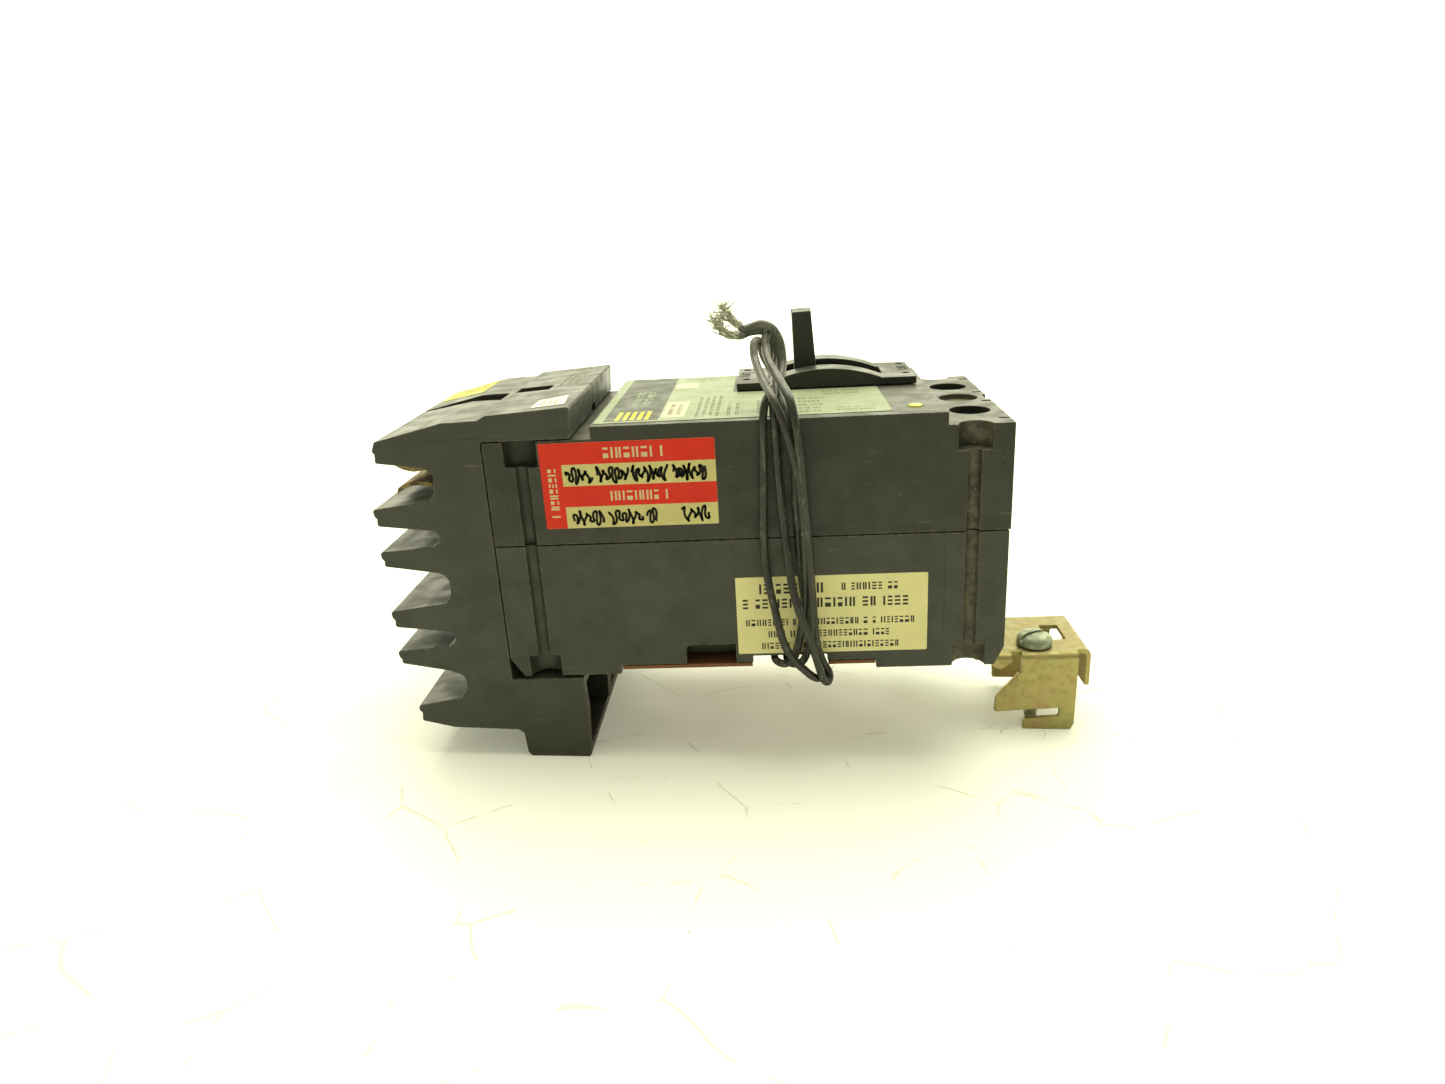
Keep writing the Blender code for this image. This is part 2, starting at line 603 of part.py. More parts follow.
def make_spring():
    x, z = KNEE_PIN
    top = (HANDLE_X - 34.0 * math.sin(math.radians(8.0)),
           HANDLE_Z + 33.4 * math.cos(math.radians(8.0)))
    coil = helix((x + 1.0, 25.6, z + 2.2), (top[0], 25.6, top[1] - 1.4), 1.5, 9, 10)
    paint(wire("main_spring", coil, 0.35, 1), STEEL, 0.9, 0.3, True)


# Trip parts -------------------------------------------------------------------------------------

def make_trip_bar():
    bar = rod("trip_bar", (TRIP_X, -30.6, TRIP_Z), (TRIP_X, 30.6, TRIP_Z), 2.2, None, 20)
    for y, half, low in ((-27.5, 3.0, 45.0), (-16.0, 3.0, 44.0), (21.5, 3.0, 44.0)):
        join_box(bar, (TRIP_X - 0.8, TRIP_X + 0.8), (y - half, y + half), (low, TRIP_Z - 1.0))
    join_box(bar, (47.6, TRIP_X - 1.0), (-30.0, -25.0), (TRIP_Z - 0.2, TRIP_Z + 1.4))
    join_box(bar, (48.4, TRIP_X - 1.0), (14.4, 17.2), (TRIP_Z - 1.4, TRIP_Z + 0.6))
    pivot_at(bar, (TRIP_X, 0.0, TRIP_Z))
    return paint(bar, (0.10, 0.07, 0.05), 0.0, 0.5)


def make_button():
    x, y = 49.7, -27.5
    button = rod("trip_button", (x, y, 58.2), (x, y, 77.7), 2.05, None, 20)
    join_rod(button, (x, y, 64.0), (x, y, 65.4), 3.6, 20)
    pivot_at(button, (x, y, 65.0))
    paint(button, (0.80, 0.72, 0.05), 0.0, 0.4)
    seat = box("button_guide", (x - 5.5, x + 3.9), (y - 6.5, y + 6.5), (59.4, 60.6))
    cut_rod(seat, (x, y, 50.0), (x, y, 70.0), 2.3, 20)
    paint(seat, (0.10, 0.07, 0.05), 0.0, 0.5)
    coil = helix((x, y, 61.3), (x, y, 63.3), 3.0, 3, 12)
    paint(wire("button_spring", coil, 0.3, 1), STEEL, 0.9, 0.3, True)


def make_shunt_trip():
    y, z = COIL_Y, COIL_Z
    coil = rod("shunt_coil", (6.8, y, z), (33.2, y, z), 7.4, None, 28)
    cut_rod(coil, (5.0, y, z), (35.0, y, z), 2.9, 20)
    paint(coil, (0.30, 0.13, 0.06), 0.1, 0.5)
    plates = box("shunt_frame", (5.0, 35.0), (y - 7.6, y + 7.6), (z - 7.6, z + 9.4))
    cut_box(plates, (6.4, 33.6), (y - 9.0, y + 9.0), (z - 9.0, z + 8.0))
    cut_rod(plates, (0.0, y, z), (40.0, y, z), 2.9, 20)
    paint(plates, STEEL, 0.8, 0.45)
    plunger = rod("shunt_plunger", (-3.0, y, z), (50.0, y, z), 2.5, None, 20)
    join_rod(plunger, (-3.0, y, z), (-1.6, y, z), 4.2, 20)
    join_rod(plunger, (49.5, y, z), (54.4, y, z), 1.2, 12)
    pivot_at(plunger, (25.0, y, z))
    paint(plunger, STEEL, 0.9, 0.35)
    coil = helix((-1.1, y, z), (4.5, y, z), 3.4, 4, 12)
    paint(wire("plunger_spring", coil, 0.3, 1), STEEL, 0.9, 0.3, True)


def make_load_side(prefix, y):
    strap = box(prefix + "_load_strap", (45.0, 72.0), (y - 6.0, y + 6.0), (7.0, 9.4))
    paint(strap, COPPER, 0.9, 0.4)
    strip = box(prefix + "_bimetal", (51.0, 52.2), (y - 4.0, y + 4.0), (9.7, 50.0))
    join_rod(strip, (52.0, y, 47.5), (54.9, y, 47.5), 1.2, 12)
    paint(strip, (0.52, 0.42, 0.30), 0.9, 0.4)
    yoke = box(prefix + "_magnet_yoke", (46.0, 57.0), (y - 6.6, y + 6.6), (22.0, 36.0))
    cut_box(yoke, (48.0, 60.0), (y - 4.6, y + 4.6), (20.0, 38.0))
    paint(yoke, STEEL, 0.7, 0.5)
    lug = box(prefix + "_load_lug", (59.0, 72.6), (y - 8.0, y + 8.0), (9.7, 33.0))
    cut_rod(lug, (55.0, y, 20.0), (76.0, y, 20.0), 5.6)
    cut_rod(lug, (WELL_X, y, 22.0), (WELL_X, y, 36.0), 3.95)
    paint(lug, (0.62, 0.62, 0.60), 0.9, 0.4)
    screw = rod(prefix + "_lug_screw", (WELL_X, y, 26.0), (WELL_X, y, 39.0), 3.7)
    cut_box(screw, (WELL_X - 5.0, WELL_X + 5.0), (y - 0.6, y + 0.6), (37.2, 41.0))
    pivot_at(screw, (WELL_X, y, 26.0))
    paint(screw, STEEL, 0.9, 0.35)
    s = 1.0 if y > 0 else -1.0
    path = [(15.8, y, 27.0), (18.0, y, 25.4), (24.0, y, 20.6), (33.0, y + s, 19.6),
            (40.6, y + s, 22.0), (43.6, y, 30.0), (43.9, y, 38.6), (46.6, y, 41.0),
            (49.2, y, 41.2)]
    paint(wire(prefix + "_braid", smooth_path(path, 4), 1.5, 1), COPPER, 0.8, 0.5, True)


# Escutcheon, bracket, leads -----------------------------------------------------------------------

def make_escutcheon():
    half = math.sqrt(ARCH_R ** 2 - (ESC_TOP - HANDLE_Z) ** 2)
    spread = math.degrees(math.asin(half / ARCH_R))
    outline = [(ESC_LEFT, DECK_TOP + 0.4), (ESC_LEFT, ESC_TOP)]
    outline += arc(HANDLE_X, HANDLE_Z, ARCH_R, 90.0 + spread, 90.0 - spread, 20)
    outline += [(ESC_RIGHT, ESC_TOP), (ESC_RIGHT, DECK_TOP + 0.4)]
    bezel = prism("handle_escutcheon", outline, "XZ", ESC_NEAR, ESC_FAR)
    cut(bezel, rod("escutcheon_hollow", (HANDLE_X, SLOT_NEAR - 2.0, HANDLE_Z),
                   (HANDLE_X, SLOT_FAR + 2.0, HANDLE_Z), ARCH_R - 1.6, None, 120, CUTTERS))
    cut_box(bezel, (HANDLE_X - 18.6, HANDLE_X + 18.9), (SLOT_NEAR, SLOT_FAR), (70.0, 90.0))
    for x in (-0.2, 52.1):
        for y in (13.4, 31.6):
            cut_rod(bezel, (x, y, 70.0), (x, y, 90.0), 1.3, 16)
    return paint(bezel, (0.045, 0.045, 0.038), 0.0, 0.45)


def make_bracket():
    top = BRACKET_TOP
    low = top - BRACKET_T
    half = BRACKET_HALF
    profile = [(42.0, -1.8), (42.0, -3.4), (68.6, -3.4), (72.0, low), (108.9, low),
               (108.9, -22.6), (110.5, -22.6), (110.5, top - 0.6), (109.7, top), (73.2, top),
               (69.8, -1.8)]
    bracket = prism("mounting_bracket", profile, "XZ", -half, half)
    near = [(84.6, -12.0), (82.0, -13.8), (80.6, -14.7), (79.2, -14.3), (77.4, -12.9),
            (77.4, top - 0.2), (84.6, top - 0.2)]
    hook = [(87.4, top - 0.2), (87.4, -15.4), (79.3, -24.6), (79.0, -30.4), (100.5, -29.5),
            (100.5, -32.6), (89.3, -33.2), (88.8, -34.2), (88.7, -37.2),
            (103.5, BRACKET_BOTTOM), (105.0, -37.0), (105.6, -35.6), (105.8, top - 0.2)]
    far_hook = [(104.6, top - 0.2), (87.0, top - 0.2), (87.0, -17.6), (84.7, -28.0),
                (84.9, -33.3), (99.0, -33.9), (99.0, -35.2), (95.6, -35.6), (95.6, -37.4),
                (103.5, BRACKET_BOTTOM), (104.6, -36.6)]
    join(bracket, prism("bracket_near_hook", hook, "XZ", -half, -half + BRACKET_T, CUTTERS))
    join(bracket, prism("bracket_near_lip", near, "XZ", -half, -half + BRACKET_T, CUTTERS))
    join(bracket, prism("bracket_far_hook", far_hook, "XZ", half - BRACKET_T, half, CUTTERS))
    cut_box(bracket, (84.2, 87.4), (-18.0, -13.2), (-16.0, -5.0))
    cut_box(bracket, (105.8, 112.0), (-20.0, -13.2), (-40.0, 0.0))
    cut_box(bracket, (104.0, 112.0), (14.6, 20.0), (-40.0, 0.0))
    cut_box(bracket, (98.3, 104.5), (-4.8, 6.6), (-14.0, -5.0))
    x, y = RAIL_SCREW
    cut_rod(bracket, (x, y, -14.0), (x, y, -5.0), 2.6, 20)
    for y in (-9.0, 9.0):
        cut_rod(bracket, (52.0, y, -5.0), (52.0, y, -1.0), 1.7, 16)
    return paint(bracket, ZINC, 0.8, 0.4)


def make_bracket_screws():
    x, y = RAIL_SCREW
    head = rod("bracket_screw", (x, y, -9.1), (x, y, -7.5), 5.7, None, 28)
    join(head, rod("bracket_screw_dome", (x, y, -7.6), (x, y, -5.7), 5.7, 3.6, 28, CUTTERS))
    join_rod(head, (x, y, -36.6), (x, y, -9.0), 2.35, 20)
    cut_box(head, (x - 7.0, x + 7.0), (y - 0.65, y + 0.65), (-7.4, -4.0))
    pivot_at(head, (x, y, -9.0))
    paint(head, (0.50, 0.51, 0.46), 0.9, 0.35)
    for i, y in enumerate((-9.0, 9.0)):
        screw = rod("bracket_fixing_%d" % (i + 1), (52.0, y, -5.4), (52.0, y, -3.7), 3.0)
        join_rod(screw, (52.0, y, -3.8), (52.0, y, 4.2), 1.3, 16)
        paint(screw, STEEL, 0.9, 0.4)


def make_leads():
    lead = [(9.0, -31.0, 40.0), (8.0, -31.8, 30.0), (7.6, -31.8, 12.0), (7.6, -31.8, 4.0),
            (7.0, -33.6, 0.6), (7.6, -37.6, 0.2), (10.0, -39.9, 1.6), (12.6, -40.2, 6.0),
            (14.0, -40.2, 16.8), (14.9, -41.0, 27.8), (15.9, -42.2, 39.4), (16.1, -43.4, 49.7),
            (15.5, -44.6, 57.4), (14.2, -45.2, 65.5), (11.8, -45.2, 74.2), (9.0, -43.4, 80.8),
            (6.1, -36.0, 86.3), (3.9, -28.0, 91.3), (3.3, -25.0, 95.4), (4.4, -23.4, 97.4),
            (6.4, -24.0, 96.0), (8.0, -28.0, 90.5), (9.4, -34.0, 85.4), (9.4, -40.2, 80.2),
            (9.2, -42.0, 73.3), (9.2, -42.2, 63.7), (9.9, -42.2, 53.1), (10.9, -42.4, 43.2),
            (11.9, -43.2, 34.2), (13.5, -44.2, 24.3), (16.1, -45.0, 15.0), (18.7, -45.4, 6.6),
            (20.4, -44.8, 0.3), (21.5, -43.2, -2.8), (22.2, -41.2, -1.6), (22.0, -40.0, 3.0),
            (20.6, -39.8, 12.0)]
    other = [(12.0, -31.6, 40.0), (11.0, -31.8, 30.0), (10.4, -31.8, 12.0), (10.4, -31.8, 4.0),
             (10.6, -33.4, -0.8), (13.0, -37.0, -1.6), (15.8, -39.8, 1.0), (16.6, -40.2, 6.0),
             (17.2, -40.4, 12.2), (18.2, -41.2, 23.3), (18.9, -42.4, 35.0), (18.8, -43.4, 45.5),
             (18.2, -44.6, 55.7), (17.2, -45.4, 65.6), (15.8, -45.4, 73.4), (14.2, -43.4, 79.9),
             (12.6, -36.0, 84.9), (12.9, -28.0, 89.0), (13.0, -23.0, 94.0), (11.6, -20.6, 98.8),
             (8.6, -20.0, 101.6), (4.6, -20.0, 101.4), (0.8, -20.0, 99.8), (-2.6, -20.0, 100.0)]
    paint(wire("lead_a", smooth_path(lead, 3), LEAD_R, 1), (0.05, 0.05, 0.05), 0.0, 0.4, True)
    paint(wire("lead_b", smooth_path(other, 3), LEAD_R, 1), (0.05, 0.05, 0.05), 0.0, 0.4, True)


make_base()
make_cover()
make_insulator()
make_case_screw("case_screw_line", -56.0, -0.9)
make_case_screw("case_screw_load", 30.0, 1.5)
make_labels()
make_housing("near_jaw_housing", -1)
make_housing("far_jaw_housing", 1)
make_jaw("near", -1, 68.9)
make_jaw("far", 1, 68.9 - PHASE_PITCH)
make_crossbar()
make_arm("near_contact_arm", -POLE_Y)
make_arm("far_contact_arm", POLE_Y)
make_chute("near_arc_chute", -POLE_Y)
make_chute("far_arc_chute", POLE_Y)
make_frame()
make_handle()
make_handle_arm()
make_pivot_pins()
make_cradle()
make_links()
make_spring()
make_trip_bar()
make_button()
make_shunt_trip()
make_load_side("near", -POLE_Y)
make_load_side("far", POLE_Y)
make_escutcheon()
make_bracket()
make_bracket_screws()
make_leads()
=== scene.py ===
"""Visual model of a plug-on two-pole breaker with a shunt trip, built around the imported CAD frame.

X runs from the plug-on jaws to the load end, -Y is the side that carries the leads and +Z is the
front with the handle. Lengths in the tables below are in millimetres and are scaled by MM.
"""
import math
import random

import bmesh
import bpy
from mathutils import Matrix, Vector


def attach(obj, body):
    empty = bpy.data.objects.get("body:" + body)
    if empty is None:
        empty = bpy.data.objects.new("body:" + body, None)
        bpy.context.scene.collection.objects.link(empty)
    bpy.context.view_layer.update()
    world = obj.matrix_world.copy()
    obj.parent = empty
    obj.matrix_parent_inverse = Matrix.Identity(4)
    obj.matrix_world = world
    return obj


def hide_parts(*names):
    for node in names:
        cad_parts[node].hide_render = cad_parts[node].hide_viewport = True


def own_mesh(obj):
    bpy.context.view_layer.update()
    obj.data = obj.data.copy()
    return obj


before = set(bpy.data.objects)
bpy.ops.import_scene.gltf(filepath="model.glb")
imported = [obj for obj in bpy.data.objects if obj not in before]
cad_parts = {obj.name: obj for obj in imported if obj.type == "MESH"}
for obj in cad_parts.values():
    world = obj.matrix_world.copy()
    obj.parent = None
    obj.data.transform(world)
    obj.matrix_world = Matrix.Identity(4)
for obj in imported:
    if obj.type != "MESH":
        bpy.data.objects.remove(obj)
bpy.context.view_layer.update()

MM = 0.001

# Case
HALF_LENGTH = 76.2
HALF_WIDTH = 38.1
POLE_Y = 19.05
WALL = 3.0
BASE_BOTTOM = -1.4
PARTING = 41.9
POLE_WEB = 1.5
CASE_SCREWS = (-56.0, 30.0)
SHELF_TOP = 73.7
LEDGE_TOP = 73.8
DECK_TOP = 77.4
DECK_LEFT = -44.2
DECK_RIGHT = 57.6
CHANNEL_X = 65.2
WELL_X = 66.9

# Plug-on end: the gaps between fins repeat at the bus pitch; side -1 is near and 1 is far
PHASE_PITCH = 33.0
SEAM_X = -76.5
WIDE_GAP_TOP = 68.9
NARROW_GAP_TOP = 49.6
JAW_TOP = {-1: WIDE_GAP_TOP, 1: WIDE_GAP_TOP - PHASE_PITCH}

# Handle and escutcheon
HANDLE_X = 25.7
HANDLE_Z = 36.9
HANDLE_Y = 21.0
HANDLE_TOP = 101.1
ARCH_R = 46.8
ESC_LEFT = -3.3
ESC_RIGHT = 54.7
ESC_TOP = 80.1
ESC_NEAR = 5.8
ESC_FAR = 35.7
SLOT_NEAR = 14.6
SLOT_FAR = 27.4

# Load end bracket
BRACKET_TOP = -9.4
BRACKET_T = 1.6
BRACKET_HALF = 16.0
BRACKET_BOTTOM = -37.7
BEND_R = 2.4
RAIL_SCREW = (93.1, -8.0)
BRACKET_FIXINGS = ((52.0, -9.0), (52.0, 9.0))

# Trip button (x, y), axis of the shunt coil (y, z) and radius of the leads
BUTTON = (49.7, -27.5)
COIL = (-25.5, 50.0)
LEAD_R = 1.2


# ---- Mesh helpers

def new_object(name, data):
    obj = bpy.data.objects.new(name, data)
    bpy.context.scene.collection.objects.link(obj)
    return obj


def from_bmesh(bm, name):
    bmesh.ops.recalc_face_normals(bm, faces=bm.faces)
    mesh = bpy.data.meshes.new(name)
    bm.to_mesh(mesh)
    bm.free()
    return new_object(name, mesh)


def shift(x, y, z):
    return Matrix.Translation(Vector((x, y, z)) * MM)


def any_way(pick):
    return Vector([pick.uniform(-1.0, 1.0) for _ in range(3)])


def at(plane, u, v, w):
    """World point of (u, v) in a plane, w along the plane's normal axis."""
    if plane == "XZ":
        return Vector((u, w, v)) * MM
    if plane == "YZ":
        return Vector((w, u, v)) * MM
    return Vector((u, v, w)) * MM


def add_skin(bm, rings):
    """Wall through rings of equal count, with a cap at each end."""
    for low, high in zip(rings, rings[1:]):
        for k in range(len(low)):
            j = (k + 1) % len(low)
            bm.faces.new((low[k], low[j], high[j], high[k]))
    bm.faces.new(rings[0][::-1])
    bm.faces.new(rings[-1])


def add_prism(bm, outline, plane, low, high):
    add_skin(bm, [[bm.verts.new(at(plane, u, v, w)) for u, v in outline] for w in (low, high)])


def prism(name, outline, plane, low, high):
    bm = bmesh.new()
    add_prism(bm, outline, plane, low, high)
    return from_bmesh(bm, name)


def box(name, x, y, z):
    return prism(name, [(x[0], y[0]), (x[1], y[0]), (x[1], y[1]), (x[0], y[1])], "XY", *z)


def rod(name, start, end, radius, sides=40):
    a = Vector(start) * MM
    b = Vector(end) * MM
    turn = (b - a).to_track_quat("Z", "Y").to_matrix().to_4x4()
    bm = bmesh.new()
    bmesh.ops.create_cone(bm, cap_ends=True, segments=sides, radius1=radius * MM,
                          radius2=radius * MM, depth=(b - a).length,
                          matrix=Matrix.Translation((a + b) / 2) @ turn)
    return from_bmesh(bm, name)


def pin(name, x, y, low, high, radius, sides=40):
    return rod(name, (x, y, low), (x, y, high), radius, sides)


def lathe(name, profile, origin, steps=56):
    """Profile of (radius, height) turned about +Z through the origin."""
    bm = bmesh.new()
    rings = []
    for radius, height in profile:
        spots = []
        for i in range(1 if radius < 0.001 else steps):
            turn = 2 * math.pi * i / steps
            spot = (radius * math.cos(turn), radius * math.sin(turn), height)
            spots.append(bm.verts.new((Vector(origin) + Vector(spot)) * MM))
        rings.append(spots * steps if len(spots) == 1 else spots)
    for low, high in zip(rings, rings[1:]):
        for i in range(steps):
            j = (i + 1) % steps
            corners = list(dict.fromkeys((low[i], low[j], high[j], high[i])))
            if len(corners) > 2:
                bm.faces.new(corners)
    return from_bmesh(bm, name)


def arc(cx, cy, radius, start, end, steps):
    points = []
    for i in range(steps + 1):
        turn = math.radians(start + (end - start) * i / steps)
        points.append((cx + radius * math.cos(turn), cy + radius * math.sin(turn)))
    return points


def fillet(outline, radius, steps=4, keep=()):
    """Round every corner of an outline, apart from the corner numbers in keep."""
    points = []
    count = len(outline)
    for i in range(count):
        here = Vector(outline[i])
        if i in keep:
            points.append(tuple(here))
            continue
        back = Vector(outline[i - 1]) - here
        ahead = Vector(outline[(i + 1) % count]) - here
        angle = back.angle(ahead)
        reach = radius / math.tan(angle / 2) if angle > 0.02 else 0.0
        reach = min(reach, 0.45 * back.length, 0.45 * ahead.length)
        if reach < 0.02:
            points.append(tuple(here))
            continue
        a = here + back.normalized() * reach
        b = here + ahead.normalized() * reach
        for k in range(steps + 1):
            t = k / steps
            points.append(tuple(a * (1 - t) ** 2 + here * 2 * t * (1 - t) + b * t * t))
    return points


def smooth_path(points, per_span=6):
    """Catmull-Rom samples through the points."""
    result = []
    last = len(points) - 1
    for i in range(last):
        p = [Vector(points[max(0, min(last, i + k))]) for k in (-1, 0, 1, 2)]
        for j in range(per_span):
            t = j / per_span
            bend = (2 * p[0] - 5 * p[1] + 4 * p[2] - p[3]) * t * t
            twist = (3 * p[1] - p[0] - 3 * p[2] + p[3]) * t * t * t
            result.append((2 * p[1] + (p[2] - p[0]) * t + bend + twist) / 2)
    result.append(Vector(points[-1]))
    return result


def spoke(side, other, turn):
    return math.cos(turn) * side + math.sin(turn) * other


def add_sweep(bm, path, radius, sides=14):
    """Tube along a path of points; radius is a number or a function of (share, angle)."""
    side = None
    rings = []
    for i, spot in enumerate(path):
        ahead = path[min(i + 1, len(path) - 1)] - path[max(i - 1, 0)]
        ahead.normalize()
        if side is None:
            side = ahead.orthogonal().normalized()
        side = (side - ahead * side.dot(ahead)).normalized()
        other = ahead.cross(side)
        ring = []
        for k in range(sides):
            turn = 2 * math.pi * k / sides
            r = radius(i / (len(path) - 1), turn) if callable(radius) else radius
            ring.append(bm.verts.new((spot + r * spoke(side, other, turn)) * MM))
        rings.append(ring)
    add_skin(bm, rings)


def bake(obj):
    """Apply an object's modifiers to its mesh."""
    bpy.context.view_layer.update()
    graph = bpy.context.evaluated_depsgraph_get()
    mesh = bpy.data.meshes.new_from_object(obj.evaluated_get(graph))
    obj.modifiers.clear()
    old = obj.data
    obj.data = mesh
    bpy.data.meshes.remove(old)
    return obj


def carve(obj, tools, operation="DIFFERENCE"):
    group = bpy.data.collections.new("tools")
    bpy.context.scene.collection.children.link(group)
    for tool in tools:
        group.objects.link(tool)
    step = obj.modifiers.new("carve", "BOOLEAN")
    step.operation = operation
    step.solver = "EXACT"
    step.operand_type = "COLLECTION"
    step.collection = group
    bake(obj)
    for tool in tools:
        bpy.data.objects.remove(tool, do_unlink=True)
    bpy.data.collections.remove(group)
    return obj


def add(obj, tools):
    return carve(obj, tools, "UNION")


def soften(obj, width, segments=2, angle=32.0):
    """Merge flat faces, round the sharp edges and shade the rest smooth."""
    bm = bmesh.new()
    bm.from_mesh(obj.data)
    bmesh.ops.remove_doubles(bm, verts=bm.verts, dist=0.003 * MM)
    bmesh.ops.dissolve_limit(bm, angle_limit=math.radians(0.6), verts=bm.verts, edges=bm.edges)
    # A face that runs round a hole meets itself along a slit, and a bevel would tear it there.
    holed = [face for face in bm.faces if len(set(face.verts)) < len(face.verts)]
    bmesh.ops.triangulate(bm, faces=holed)
    bm.to_mesh(obj.data)
    bm.free()
    step = obj.modifiers.new("round", "BEVEL")
    step.width = width * MM
    step.segments = segments
    step.limit_method = "ANGLE"
    step.angle_limit = math.radians(angle)
    step.use_clamp_overlap = False
    mend(bake(obj))
    return shade(obj)


def mend(obj):
    """Fill again every flat face that the bevel folded over itself."""
    bm = bmesh.new()
    bm.from_mesh(obj.data)
    shares = {}
    for loops in bm.calc_loop_triangles():
        a, b, c = (loop.vert.co for loop in loops)
        face = loops[0].face
        shares[face] = shares.get(face, 0.0) + (b - a).cross(c - a).length / 2
    folded = [face for face, share in shares.items()
              if share > face.calc_area() * 1.02 + 0.2 * MM * MM]
    for face in folded:
        edges, normal = list(face.edges), face.normal.copy()
        bmesh.ops.delete(bm, geom=[face], context="FACES_ONLY")
        bmesh.ops.triangle_fill(bm, edges=edges, use_beauty=True, normal=normal)
    bm.to_mesh(obj.data)
    bm.free()
    return obj


def shade(obj, angle=38.0):
    mesh = obj.data
    mesh.polygons.foreach_set("use_smooth", [True] * len(mesh.polygons))
    mesh.set_sharp_from_angle(angle=math.radians(angle))
    step = obj.modifiers.new("normals", "WEIGHTED_NORMAL")
    step.keep_sharp = True
    return bake(obj)


# ---- Materials

def wire(tree, source, socket):
    """Link a socket, or set a plain value."""
    if isinstance(source, bpy.types.NodeSocket):
        tree.links.new(source, socket)
    else:
        socket.default_value = source


def map_range(tree, value, *numbers):
    """Map low..high to to_low..to_high; the four numbers come in that order."""
    made = tree.nodes.new("ShaderNodeMapRange")
    wire(tree, value, made.inputs["Value"])
    for key, number in zip(("From Min", "From Max", "To Min", "To Max"), numbers):
        made.inputs[key].default_value = number
    return made.outputs["Result"]


def scaled(color, factor):
    return tuple(min(1.0, c * factor) for c in color)


